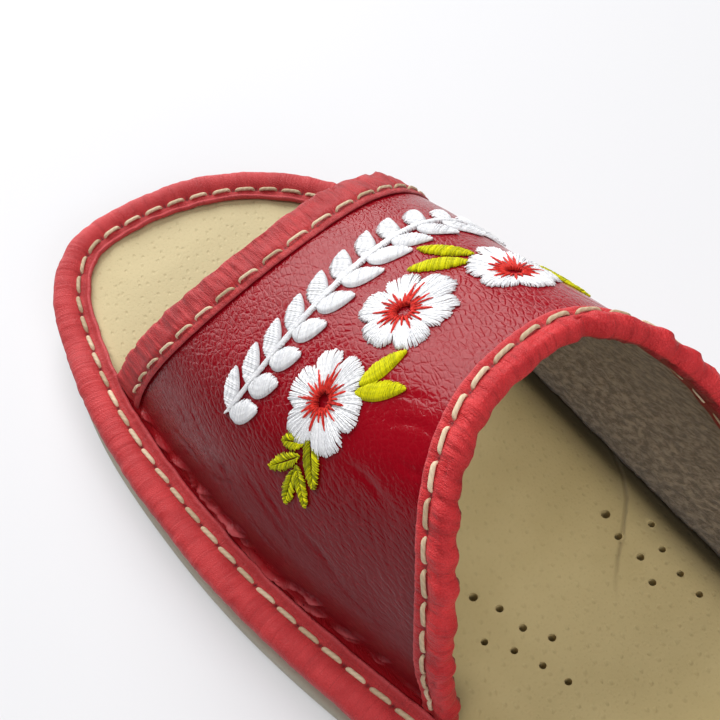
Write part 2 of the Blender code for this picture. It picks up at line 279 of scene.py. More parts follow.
def joinedTubes(name, paths, upward, radii, sides, tones, flat=1.0):  # many thin threads as one mesh
    count, steps = paths.shape[:2]
    ahead = unit(np.gradient(paths, axis=1))
    sideways = unit(np.cross(upward, ahead))
    rising = np.cross(ahead, sideways)
    turn = np.arange(sides) * 2.0 * math.pi / sides
    ring = np.cos(turn)[:, None] * sideways[:, :, None]
    ring = ring + np.sin(turn)[:, None] * flat * rising[:, :, None]
    points = paths[:, :, None, :] + radii[:, :, None, None] * ring
    index = np.arange(count * steps * sides).reshape(count, steps, sides)
    beside = np.roll(index, -1, axis=2)
    quads = np.stack((index[:, :-1], beside[:, :-1], beside[:, 1:], index[:, 1:]), axis=-1).reshape(-1, 4)
    caps = index[:, 0, ::-1].tolist() + index[:, -1].tolist()
    mesh = bpy.data.meshes.new(name)
    mesh.from_pydata((points * mm).reshape(-1, 3), [], quads.tolist() + caps)
    travel = np.cumsum(np.linalg.norm(np.diff(paths, axis=1, prepend=paths[:, :1]), axis=-1), axis=1)
    around = np.arange(sides + 1) / sides
    low, high, first, second = np.broadcast_arrays(
        travel[:, :-1, None], travel[:, 1:, None], around[:-1], around[1:])
    corners = np.stack((low, first, low, second, high, second, high, first), axis=-1).ravel()
    layer = mesh.uv_layers.new(name="UVMap")
    layer.data.foreach_set("uv", np.concatenate((corners, np.zeros(count * sides * 4))))
    setMark(mesh, "tone", np.repeat(tones, steps * sides))
    mesh.shade_smooth()
    piece = bpy.data.objects.new(name, mesh)
    bpy.context.scene.collection.objects.link(piece)
    return piece


# Making materials

def reckoned(operation, flipped=False):  # a sum of a socket and a number or another socket
    def work(self, other):
        first, second = (other, self) if flipped else (self, other)
        return self.finish.node("ShaderNodeMath", {"operation": operation}, {0: first, 1: second})
    return work


class Wire:  # an output socket that can be reckoned with
    __add__ = reckoned("ADD")
    __radd__ = reckoned("ADD", True)
    __sub__ = reckoned("SUBTRACT")
    __rsub__ = reckoned("SUBTRACT", True)
    __mul__ = reckoned("MULTIPLY")
    __rmul__ = reckoned("MULTIPLY", True)

    def __init__(self, finish, socket):
        self.finish = finish
        self.socket = socket

    def __abs__(self):
        return self.finish.node("ShaderNodeMath", {"operation": "ABSOLUTE"}, {0: self})


class Finish:  # one material with its nodes
    def __init__(self, name, constants):
        self.material = bpy.data.materials.new(name)
        self.material.use_nodes = True
        self.tree = self.material.node_tree
        self.shader = self.tree.nodes["Principled BSDF"]
        for key, value in constants.items():
            self.shader.inputs[key].default_value = value

    def feed(self, socket, value):
        if isinstance(value, Wire):
            self.tree.links.new(value.socket, socket)
        else:
            socket.default_value = value

    def node(self, kind, settings, sockets, output=0):
        made = self.tree.nodes.new(kind)
        for key, value in settings.items():
            setattr(made, key, value)
        for key, value in sockets.items():
            self.feed(made.inputs[key], value)
        return Wire(self, made.outputs[output])

    def set(self, **wires):  # names of shader sockets, spaces left out
        for key, value in wires.items():
            socket = next(s for s in self.shader.inputs if s.name.replace(" ", "").lower() == key.lower())
            self.feed(socket, value)
        return self.material

    def surface(self, shade, rough, height, depth, strength):  # depth of the bump in millimetres
        sockets = {"Height": height, "Distance": depth * mm, "Strength": strength}
        return self.set(baseColor=shade, roughness=rough, normal=self.node("ShaderNodeBump", {}, sockets))

    def dulled(self, gloss, constants):  # the shader mixed with a duller one of the same colour
        inputs = self.shader.inputs
        shared = {key: Wire(self, inputs[key].links[0].from_socket) for key in ("Base Color", "Normal")}
        dull = self.node("ShaderNodeBsdfPrincipled", {}, {**constants, **shared})
        glossy = Wire(self, self.shader.outputs[0])
        mixed = self.node("ShaderNodeMixShader", {}, {0: gloss, 1: dull, 2: glossy})
        self.feed(self.tree.nodes["Material Output"].inputs["Surface"], mixed)
        return self.material

    def uv(self, stretch=(1.0, 1.0, 1.0), turn=0.0, kind="POINT"):
        plain = self.node("ShaderNodeUVMap", {"uv_map": "UVMap"}, {})
        sockets = {"Vector": plain, "Scale": stretch, "Rotation": (0.0, 0.0, turn)}
        return self.node("ShaderNodeMapping", {"vector_type": kind}, sockets)

    def drawn(self, turn, length, width):  # the piece's own map drawn out along one direction
        return self.uv((length, width, 1.0), math.radians(turn), "TEXTURE")

    def drawnBent(self, turn, length, width, scale, amount):
        return self.bent(self.drawn(turn, length, width), scale, amount)

    def place(self):  # object coordinates in millimetres
        plain = self.node("ShaderNodeTexCoord", {}, {}, "Object")
        return self.node("ShaderNodeMapping", {}, {"Vector": plain, "Scale": (1.0 / mm,) * 3})

    def noise(self, vector, scale, detail=2.0, roughness=0.5):
        sockets = {"Vector": vector, "Scale": scale, "Detail": detail, "Roughness": roughness}
        return self.node("ShaderNodeTexNoise", {}, sockets)

    def bent(self, vector, scale, amount):  # coordinates pushed about by noise
        sockets = {"Vector": vector, "Scale": scale, "Detail": 2.0}
        push = self.node("ShaderNodeTexNoise", {}, sockets, "Color")
        centred = self.node("ShaderNodeVectorMath", {"operation": "SUBTRACT"}, {0: push, 1: (0.5, 0.5, 0.5)})
        scaled = self.node("ShaderNodeVectorMath", {"operation": "MULTIPLY"}, {0: centred, 1: (amount,) * 3})
        return self.node("ShaderNodeVectorMath", {"operation": "ADD"}, {0: vector, 1: scaled})

    def cells(self, vector, scale=1.0, feature="DISTANCE_TO_EDGE", randomness=1.0, flat=True):
        settings = {"feature": feature, "voronoi_dimensions": "2D" if flat else "3D"}
        sockets = {"Vector": vector, "Scale": scale, "Randomness": randomness}
        return self.node("ShaderNodeTexVoronoi", settings, sockets)

    def between(self, value, low, high):  # 0 at low, 1 at high, smooth
        sockets = {"Value": value, "From Min": low, "From Max": high}
        return self.node("ShaderNodeMapRange", {"interpolation_type": "SMOOTHSTEP"}, sockets)

    def below(self, value, low, high):  # 1 at low, 0 at high, smooth
        return 1.0 - self.between(value, low, high)

    def blend(self, factor, first, second):
        sockets = {0: factor, 6: first, 7: second}
        return self.node("ShaderNodeMix", {"data_type": "RGBA"}, sockets, 2)

    def mottled(self, cloud, first, second):
        return self.blend(self.between(cloud, 0.3, 0.7), first, second)

    def painted(self, shade, *coats):  # colours laid over one another, each with its cover
        for cover, tint in coats:
            shade = self.blend(cover, shade, tint)
        return shade

    def mark(self, name):  # a value kept on the piece's own points
        return self.node("ShaderNodeAttribute", {"attribute_name": name}, {}, "Fac")

    def part(self, vector, axis):
        return self.node("ShaderNodeSeparateXYZ", {}, {0: vector}, axis)


def colour(red, green, blue):
    return (red, green, blue, 1.0)


vampLook = {
    "deep": colour(0.24, 0.0008, 0.006), "bright": colour(0.32, 0.002, 0.010),
    # low: painted shade for the lower walls, turned away from the light; foot: painted light lifting the
    # shaded foot of the walls
    "low": colour(0.125, 0.0004, 0.003), "foot": colour(0.42, 0.012, 0.018),
    # ridge: painted highlight on the crests of the lasting folds
    "line": colour(0.43, 0.042, 0.052), "ridge": colour(0.66, 0.12, 0.13),
    "walls": (24.0, 42.0), "rear": (-42.0, -16.0), "calm": (8.0, 22.0),  # millimetres on the leather
    "cells": (  # net, cross, front, back: turn, length, width, then the bend's scale and amount
        (118.0, 2.3, 1.0, 0.8, 0.6), (66.0, 3.0, 1.6, 0.7, 0.7),
        (112.0, 5.0, 1.1, 0.6, 0.8), (140.0, 5.0, 1.1, 0.6, 0.8),
    ),
    "pleats": (  # front, back and those along the foot, as above
        (110.0, 5.0, 1.1, 0.6, 0.7), (138.0, 5.0, 1.1, 0.6, 0.7), (96.0, 6.0, 0.9, 0.5, 0.5),
    ),
}


def vampLeather():  # low gloss red, fine crazing on top, drawn-out lines on the walls
    look = vampLook
    finish = Finish("vamp leather", {"IOR": 1.45, "Specular IOR Level": 0.25})
    plain = finish.uv()
    aside = abs(finish.part(plain, "X"))
    wall = finish.between(aside, *look["walls"])  # 0 over the foot, 1 low on the walls
    rear = finish.between(finish.part(plain, "Y"), *look["rear"])
    calm = 1.0 - 0.75 * finish.between(aside, *look["calm"]) * rear  # smoother beside the throat
    foot = finish.mark("foot")
    net, cross, front, back = (finish.cells(finish.drawnBent(*row)) for row in look["cells"])

    def line(cells, wide):  # 1 on the lines between cells
        return finish.below(cells, 0.0, wide)

    sideLine = line(front, 0.06) * (1.0 - rear) + line(back, 0.06) * rear
    patches = finish.between(finish.noise(plain, 0.08), 0.36, 0.62)
    # the crease lines are painted lighter: partly the leather's own pale creases, partly painted highlight on
    # their shoulders
    lines = line(net, 0.06) * (0.4 + 0.6 * patches) * (1.0 - 0.85 * wall)
    lines = lines + line(cross, 0.04) * (1.0 - 0.6 * patches) * (1.0 - wall)
    lines = lines * calm + sideLine * (0.2 + 0.45 * wall)
    ground = finish.blend(finish.noise(plain, 0.12, 3.0), look["deep"], look["bright"])
    shade = finish.painted(
        # painted shade on the lower walls, painted light at their foot
        ground, (0.8 * wall, look["low"]), (0.8 * foot, look["foot"]),
        (0.6 * finish.mark("ridge"), look["ridge"]), (0.2 * lines, look["line"]))
    frontPleat, backPleat, folds = (
        finish.noise(finish.drawnBent(*row), 1.0, 3.0, 0.55) for row in look["pleats"])
    grain = finish.noise(plain, 1.8, 2.0, 0.6)
    above = 0.68 * finish.between(net, 0.0, 0.24) + 0.4 * finish.between(cross, 0.0, 0.16) + 0.4 * grain
    low = 1.5 * (frontPleat * (1.0 - rear) + backPleat * rear) + 0.3 * finish.between(front, 0.0, 0.25)
    height = above * calm * (1.0 - 0.6 * wall) + low * (0.12 + 0.88 * wall) + 1.4 * folds * foot
    finish.surface(shade, 0.19 + 0.12 * lines + 0.06 * foot, height, 0.12, 0.8)
    return finish.dulled(0.3 + 0.7 * finish.mark("shine"), {"Specular IOR Level": 0.05, "Roughness": 0.5})


def bandLeather(name, deep, bright, creasing):  # soft half-matt red, fine grain, creases across the strip
    gloss = {"IOR": 1.42, "Specular IOR Level": 0.36, "Sheen Weight": 0.04, "Sheen Roughness": 0.5}
    finish = Finish(name, gloss)
    plain = finish.place()
    pebble = finish.cells(finish.bent(plain, 0.4, 0.5), 2.3, flat=False)
    fine = finish.noise(plain, 4.5, 2.0, 0.6)
    cloud = finish.noise(plain, 0.16, 4.0, 0.6)
    across = finish.noise(finish.bent(finish.uv(), 0.5, 0.4), 1.0, 3.0, 0.6)
    crease = finish.below(pebble, 0.0, 0.09)
    fold = finish.below(across, 0.32, 0.5)
    dark = colour(0.6 * deep[0], 0.4 * deep[1], 0.4 * deep[2])
    # painted shade: darker in the grain's cell edges and in the creases across the strip
    shade = finish.painted(
        finish.mottled(cloud, deep, bright), (0.3 * crease + 0.45 * creasing * fold, dark),
        # paler along the band's lip crest and the bindings' rear edge
        (0.7 * finish.mark("worn"), colour(0.60, 0.10, 0.11)),
        # hole: painted shade at needle holes, in the crease by the lip and on the bindings' shaded parts
        (finish.mark("hole"), colour(0.02, 0.003, 0.003)))
    height = 0.55 * finish.between(pebble, 0.0, 0.3) + 0.4 * fine + 6.5 * creasing * across
    return finish.surface(shade, 0.5 + 0.12 * crease + 0.08 * cloud, height, 0.12, 0.85)


def insoleLeather():  # cream pigskin, shallow pores in loose rows, one soft fold
    finish = Finish("insole leather", {"IOR": 1.4})
    plain = finish.place()
    pore = finish.cells(finish.drawnBent(62.0, 3.6, 2.6, 0.5, 0.3), 1.0, "F1", 0.7)
    small = finish.cells(finish.drawn(40.0, 1.3, 1.0), 1.0, "F1")
    # painted shade: the pores and specks are dents and are painted darker too
    dot = finish.below(pore, 0.02, 0.2)
    speck = finish.below(small, 0.05, 0.3)
    away = finish.mark("fold")  # millimetres from the fold line, the raised side positive
    held = finish.mark("held")  # how far the fold is still there
    # painted shade: a dark line in the crease of the fold's step
    slit = held * finish.below(abs(away), 0.0, 0.55)
    lip = held * finish.between(away, 0.2, 0.8) * finish.below(away, 0.8, 2.4)
    cloud = finish.noise(plain, 0.05, 4.0)
    # painted light: the toe end lighter and hazier, where it lies open to the light
    toeLight = finish.below(finish.part(plain, "Y"), -98.0, -62.0)
    shade = finish.painted(
        finish.mottled(cloud, colour(0.52, 0.408, 0.188), colour(0.585, 0.466, 0.226)),
        (toeLight, colour(0.60, 0.50, 0.28)), (0.1 * dot + 0.04 * speck, colour(0.25, 0.18, 0.07)),
        # painted shadow in the groove at the lining's foot and in the perforations
        (0.4 * slit, colour(0.20, 0.14, 0.06)), (0.92 * finish.mark("gap"), colour(0.035, 0.025, 0.012)))
    height = 0.5 * finish.noise(plain, 1.6, 3.0) - 0.9 * dot - 0.25 * speck - 1.5 * slit + 1.6 * lip
    return finish.surface(shade, 0.6 + 0.14 * cloud, height, 0.14, 0.8)


def liningSuede():  # grey-brown nap in small clumps
    finish = Finish("lining suede", {"IOR": 1.4, "Sheen Weight": 0.35, "Sheen Roughness": 0.45})
    nap = finish.noise(finish.bent(finish.uv((1.0, 0.6, 1.0), 0.7), 0.5, 1.2), 0.8, 4.0, 0.65)
    fuzz = finish.noise(finish.uv(), 5.5, 2.0, 0.7)
    tuft = finish.between(nap, 0.38, 0.66)
    ground = finish.blend(tuft, colour(0.148, 0.112, 0.073), colour(0.49, 0.396, 0.29))
    shade = finish.blend(0.4 * fuzz, ground, colour(0.29, 0.23, 0.168))
    return finish.surface(shade, 0.86 + 0.1 * fuzz, 0.9 * nap + 0.35 * fuzz, 0.55, 0.9)


def soleRubber():  # pale foamed rubber
    finish = Finish("sole rubber", {"IOR": 1.45})
    plain = finish.place()
    fine = finish.noise(plain, 2.2, 4.0, 0.65)
    cloud = finish.noise(plain, 0.06, 3.0)
    pit = finish.below(finish.cells(plain, 1.1, "F1", flat=False), 0.08, 0.25)
    ground = finish.mottled(cloud, colour(0.40, 0.37, 0.295), colour(0.48, 0.445, 0.36))
    # painted shade in the foam's pits; the fine noise is the rubber's own mottling
    shade = finish.blend(0.3 * pit + 0.2 * fine, ground, colour(0.28, 0.25, 0.19))
    return finish.surface(shade, 0.74 + 0.14 * fine, fine - 0.5 * pit, 0.1, 0.7)


def threadFinish(name, dark, light, roughness, twist):  # spun thread, each length a little different
    finish = Finish(name, {"IOR": 1.4, "Specular IOR Level": 0.18, "Sheen Weight": 0.03})
    plain = finish.uv()
    strand = finish.noise(finish.uv((1.2, 6.0, 1.0)), 1.5, 2.0, 0.6)
    turns = (twist * finish.part(plain, "X") + 2.0 * finish.part(plain, "Y")) * (2.0 * math.pi)
    ply = finish.node("ShaderNodeMath", {"operation": "SINE"}, {0: turns})
    mixed = finish.between(0.55 * finish.mark("tone") + 0.3 * strand + 0.08 * ply, 0.1, 0.8)
    shade = finish.blend(mixed, dark, light)
    return finish.surface(shade, roughness + 0.2 * strand, 0.6 * ply + strand, 0.07, 0.6)


finishes = {
    "vamp": vampLeather(),
    "band": bandLeather("band leather", colour(0.46, 0.027, 0.031), colour(0.57, 0.041, 0.045), 0.55),
    "binding": bandLeather("binding leather", colour(0.47, 0.014, 0.019), colour(0.66, 0.033, 0.037), 1.0),
    "insole": insoleLeather(),
    "lining": liningSuede(),
    "rubber": soleRubber(),
    "stitch": threadFinish("stitch thread", colour(0.47, 0.35, 0.22), colour(0.74, 0.595, 0.415), 0.6, 0.75),
    "white": threadFinish("white silk", colour(0.68, 0.69, 0.73), colour(0.95, 0.95, 0.96), 0.4, 0.9),
    "red": threadFinish("red silk", colour(0.30, 0.004, 0.006), colour(0.78, 0.035, 0.02), 0.45, 0.9),
    "lime": threadFinish("lime silk", colour(0.17, 0.19, 0.0005), colour(0.82, 0.78, 0.0005), 0.55, 0.9),
}
print("finishes:", len(finishes))


def finishPiece(piece, finish, stands=()):
    piece.data.materials.clear()
    piece.data.materials.append(finishes[finish])
    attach(piece, "root")
    if stands:
        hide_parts(*stands)
    piece.data.calc_loop_triangles()
    print(piece.name, "triangles:", len(piece.data.loop_triangles))
    return piece


# Flat plates of the sole

def sideRuns(stations):  # matching points of both sides, closer at toe and heel
    even = np.linspace(0.0, 1.0, stations)
    eased = even + last["crowding"] * (0.5 - 0.5 * np.cos(math.pi * even) - even)
    inner = np.arange(heelIndex + 1)
    outer = np.concatenate((np.arange(heelIndex, len(rim)), [0]))[::-1]
    for order in (inner, outer):
        travel = lengthAlong(rim[order])
        yield lookUp(eased * travel[-1], travel, rimTable[order])


def plateGrid(settings, relief=None):
    # Closed cross-sections from toe to heel: up the inner edge, over the top, down the outer edge, back
    rows = settings["rows"]
    levels = {"bed": bedLevel, "ground": groundLevel}

    def column(flat, row):
        return np.column_stack((flat, levels[row[1]](flat[:, 1]) + row[2]))

    def between(first, second, count, row):  # columns from one edge to the other, both left out
        shares = np.linspace(0.0, 1.0, count + 2)[1:-1]
        return [column(first[:, :2] * (1.0 - share) + second[:, :2] * share, row) for share in shares]

    inner, outer = ([column(run[:, :2] + run[:, 2:] * row[0], row) for row in rows]
                    for run in sideRuns(settings["stations"]))
    top = between(inner[-1], outer[-1], settings["top"], rows[-1])
    under = between(outer[0], inner[0], settings["under"], rows[0])
    if relief:
        for line in top:
            line[:, 2] += relief(line[:, 0], line[:, 1])
    points = np.stack(inner + top + outer[::-1] + under + inner[:1], axis=1)
    return points, points[:, :, :2]


outsole = {
    "stations": 220, "top": 10, "under": 24,
    "rows": (  # inset, measured from, height
        (2.4, "ground", 0.0), (0.95, "ground", 0.08), (0.5, "ground", 0.35), (0.3, "ground", 0.9),
        (0.05, "ground", 1.8), (-0.1, "bed", -7.4), (0.0, "bed", -6.75), (0.3, "bed", -6.2),
        (0.9, "bed", -5.95), (1.8, "bed", -5.85),
    ),
}


def makeOutsole():
    piece = shapedGrid("sole_plate", *plateGrid(outsole))
    finishPiece(piece, "rubber", ("outsole",))


insole = {
    "stations": 340, "top": 130, "under": 10,
    "rows": (  # inset, measured from, height
        (7.3, "bed", -5.4), (7.3, "bed", -4.2), (4.6, "bed", -3.95), (3.2, "bed", -3.1),
        (2.2, "bed", -2.0), (1.65, "bed", -0.9), (1.9, "bed", -0.25), (2.7, "bed", 0.0),
    ),
    "crown": 0.45, "crownInset": (13.5, 24.0), "lumps": ((0.12, 14.0, 21), (0.04, 4.0, 22)),
    "dip": 1.9, "dipStart": 11.4, "dipWidth": 4.2, "shadeWidth": 13.0, "vampFade": 4.0,
    "fold": ((-33.0, 1.3), (-29.2, 7.6), (-24.3, 12.5), (-17.3, 17.2), (-12.8, 19.8),
             (-8.5, 22.9), (-6.5, 25.3)),
    "foldStep": 0.7, "foldRise": 1.2, "foldReach": 7.0, "foldBack": -8.0,
    "foldMark": 9.0, "foldFade": (16.0, 28.0),
    "holes": (  # x, y, diameter
        (-18.8, 12.0, 1.6), (-16.8, 16.9, 1.3), (-16.4, 22.7, 1.3), (-13.9, 27.6, 1.3), (-23.6, 19.6, 1.2),
        (-20.8, 24.5, 1.2), (-19.1, 30.1, 1.2), (-18.1, 35.2, 1.2), (13.0, 6.4, 1.5),
        (11.0, 11.4, 1.3), (10.6, 17.0, 1.3), (8.1, 22.0, 1.3), (17.8, 14.0, 1.2),
        (15.0, 18.9, 1.2), (13.3, 24.4, 1.2), (12.3, 29.6, 1.2),
    ),
    "holeDepth": 5.0, "holeTop": 1.5, "holeSize": 1.2, "holeSides": 14,
}


def distanceToRun(x, y, run):  # signed distance to a broken line
    best = np.full(x.shape, 1e9)
    side = np.zeros(x.shape)
    run = np.array(run)
    for start, end in zip(run[:-1], run[1:]):
        way = end - start
        share = np.clip(((x - start[0]) * way[0] + (y - start[1]) * way[1]) / (way @ way), 0.0, 1.0)
        gapX = x - start[0] - share * way[0]
        gapY = y - start[1] - share * way[1]
        far = np.hypot(gapX, gapY)
        closer = far < best
        best = np.where(closer, far, best)
        side = np.where(closer, np.sign(way[0] * gapY - way[1] * gapX), side)
    return best * side


def besideVamp(y, side):  # 1 where the vamp stands on that side, soft at its ends
    fade = insole["vampFade"]
    rising = smoothStep((y - upper["front"][side] + fade) / (2.0 * fade))
    return rising * smoothStep((upper["throat"][side] + fade - y) / (2.0 * fade))


def foldHeld(y):  # the fold fades out towards the heel
    return 1.0 - ramp(y, *insole["foldFade"])


def vampGap(x, y, wide):  # 1 in the groove where the padding rounds off at the vamp; spread wider, it also places the painted shadow there
    gap = 0.0
    for side, away in (("inner", sideAt(0.0, y, "inner") - x), ("outer", x - sideAt(0.0, y, "outer"))):
        gap = gap + besideVamp(y, side) * (1.0 - smoothStep((away - insole["dipStart"]) / wide))
    return gap


def insoleRelief(x, y):  # crown of the padding, its rounding at the vamp, the fold's step
    sideGap = np.minimum(sideAt(0.0, y, "inner") - x, x - sideAt(0.0, y, "outer"))
    endGap = np.minimum(y - rim[:, 1].min(), rim[:, 1].max() - y)
    crown = insole["crown"] * ramp(np.minimum(sideGap, endGap), *insole["crownInset"])
    dip = insole["dip"] * vampGap(x, y, insole["dipWidth"])
    away = distanceToRun(x, y, insole["fold"])
    step = insole["foldStep"] * smoothStep(away / insole["foldRise"] + 0.5)
    step = step * np.exp(-np.abs(away) / insole["foldReach"]) * foldHeld(y) * (away > insole["foldBack"])
    return crown - dip + step + unevenness(x, y, insole["lumps"])


def makeInsole():
    points, uv = plateGrid(insole, insoleRelief)
    x = points[:, :, 0]
    y = points[:, :, 1]
    away = np.clip(distanceToRun(x, y, insole["fold"]), -insole["foldMark"], insole["foldMark"])
    # painted shadow: darker in and beside the groove at the lining's foot
    gap = np.clip(vampGap(x, y, insole["shadeWidth"]), 0.0, 1.0) ** 2
    piece = shapedGrid("insole_bed", points, uv, fold=away, held=foldHeld(y), gap=gap)
    cutters = []
    for holeX, holeY, wide in insole["holes"]:
        top = float(bedLevel(holeY)) + insole["holeTop"]
        pick()
        bpy.ops.mesh.primitive_cylinder_add(
            vertices=insole["holeSides"], radius=wide / 2.0 * insole["holeSize"] * mm,
            depth=insole["holeDepth"] * 2.0 * mm, location=(holeX * mm, holeY * mm, top * mm))
        cutter = bpy.context.object
        # the perforations' walls get the full painted shadow
        setMark(cutter.data, "gap", np.ones(len(cutter.data.vertices)))
        cutters.append(cutter)
    pick(*cutters)
    bpy.ops.object.join()
    punch = bpy.context.object
    bpy.ops.object.transform_apply()
    pick(piece)
    cut = piece.modifiers.new("holes", "BOOLEAN")
    cut.operation = "DIFFERENCE"
    cut.object = punch
    bpy.ops.object.modifier_apply(modifier=cut.name)
    bpy.data.objects.remove(punch)
    bpy.ops.object.shade_smooth_by_angle(angle=math.radians(50.0))
    finishPiece(piece, "insole", ("insole",))


band = {
    "around": 1400, "section": 46, "stitchInset": 6.0, "stitches": 94, "stitchPhase": 105.2,
    "rows": (  # inset, height over the bed, share of the margin's lift
        (7.0, -5.4, 0.0), (4.6, -5.45, 0.0), (3.0, -4.95, 0.0), (1.9, -3.9, 0.0), (0.95, -2.6, 0.1),
        (0.3, -1.3, 0.35), (-0.05, 0.0, 0.7), (0.15, 1.0, 0.95), (1.1, 1.9, 1.0), (2.6, 2.35, 1.0),
        (4.2, 2.15, 1.0), (5.3, 1.55, 1.0), (6.0, 1.1, 1.0), (6.6, 1.2, 1.0), (7.3, 0.98, 1.0),
        (7.9, 1.3, 1.0), (8.4, 1.75, 1.0), (8.85, 1.45, 1.0), (8.8, 0.7, 1.0), (8.35, 0.38, 1.0),
        (6.0, 0.34, 1.0), (2.0, 0.34, 1.0), (1.35, 0.0, 0.9), (1.3, -1.2, 0.5), (1.8, -2.4, 0.1),
        (2.8, -3.5, 0.0), (4.2, -4.25, 0.0), (6.8, -4.35, 0.0),
    ),
    "wrinkle": 0.12, "wrinkleCells": (1.5, 3.4), "slant": 0.35, "lump": 0.2, "lumpCell": 11.0,
    "grooveWidth": 0.9, "pull": 0.25, "seat": 1.15,
    "lip": 8.5, "lipWidth": 1.2, "lipRise": 0.22, "lipPush": 0.25, "wornWidth": 0.5,
    "gutter": (7.3, 0.45, 0.22),  # inset, width and strength of the painted shade in the crease between stitches and lip
}


def needleHoleShade(groove, pulled):  # painted shade: 1 right at a needle hole in the groove, almost nothing beside it
    return groove ** 4 * pulled ** 22


def bandPhase(travel):  # 1 at the middle of a stitch, -1 at a needle hole
    run = closedRun(rim + rimInward * band["stitchInset"])
    pitch = lengthAlong(run)[-1] / band["stitches"]
    return np.cos(2.0 * math.pi * (travel - band["stitchPhase"]) / pitch)


def bandPoint(flat, ways, inset, height, share):
    spot = flat + ways * inset
    lift = marginLift(flat) * share
    return np.column_stack((spot, bedLevel(spot[:, 1]) + height + lift))


def makeBand():
    flat, ways, travel = rimPoints(band["around"] + 1, band["stitchInset"])
    section = closedRun(closedSpline(np.array(band["rows"]), band["section"]))
    x, y = flat.T
    gutter, gutterWide, gutterShade = band["gutter"]
    fineCell, wideCell = band["wrinkleCells"]

    def noise(cell, seed, slant=0.0):
        return softNoise(x + slant, y - slant, cell, seed)

    pulled = 0.5 - 0.5 * bandPhase(travel)
    columns = []
    holes = []
    worn = []
    for index, (inset, height, share) in enumerate(section):
        shown = smoothStep((height + 3.6) / 2.4) * (1.0 if height > 0.5 or inset < 1.0 else 0.0)
        folds = noise(fineCell, 31, index * band["slant"]) + 0.7 * noise(wideCell, 32)
        folds = band["wrinkle"] * folds
        lumps = band["lump"] * noise(band["lumpCell"], 33)
        groove = hump(inset, band["stitchInset"], band["grooveWidth"])
        lip = hump(inset, band["lip"], band["lipWidth"])
        rise = folds + lumps * (0.4 + 0.6 * hump(inset, 0.0, 4.0)) - groove * band["pull"] * pulled
        rise = shown * rise + shown * lip * band["lipRise"] * noise(5.0, 35)
        inward = shown * lip * band["lipPush"] * noise(4.2, 34)
        outward = shown * hump(inset, 0.0, 1.5) * (folds + 0.8 * lumps)
        # painted shade at the needle holes and in the crease between stitches and lip
        holes.append(shown * (needleHoleShade(groove, pulled) + gutterShade * hump(inset, gutter, gutterWide)))
        worn.append(shown * hump(inset, band["lip"], band["wornWidth"]) * (0.7 + 0.3 * noise(3.0, 36)))
        columns.append(bandPoint(flat, ways, (inset + inward - outward)[:, None], height + rise, share))
    points = np.stack(columns, axis=1)
    turn = travel * 2.0 * math.pi / travel[-1]
    circle = np.column_stack((np.cos(turn), np.sin(turn))) * travel[-1] / (2.0 * math.pi)
    uv = np.repeat(circle[:, None], len(section), axis=1)
    holes = np.stack(holes, axis=1)
    piece = shapedGrid("edge_band_leather", points, uv, hole=holes, worn=np.stack(worn, axis=1))
    finishPiece(piece, "band", ("edge_band",))


# Vamp, lining and what lies on them

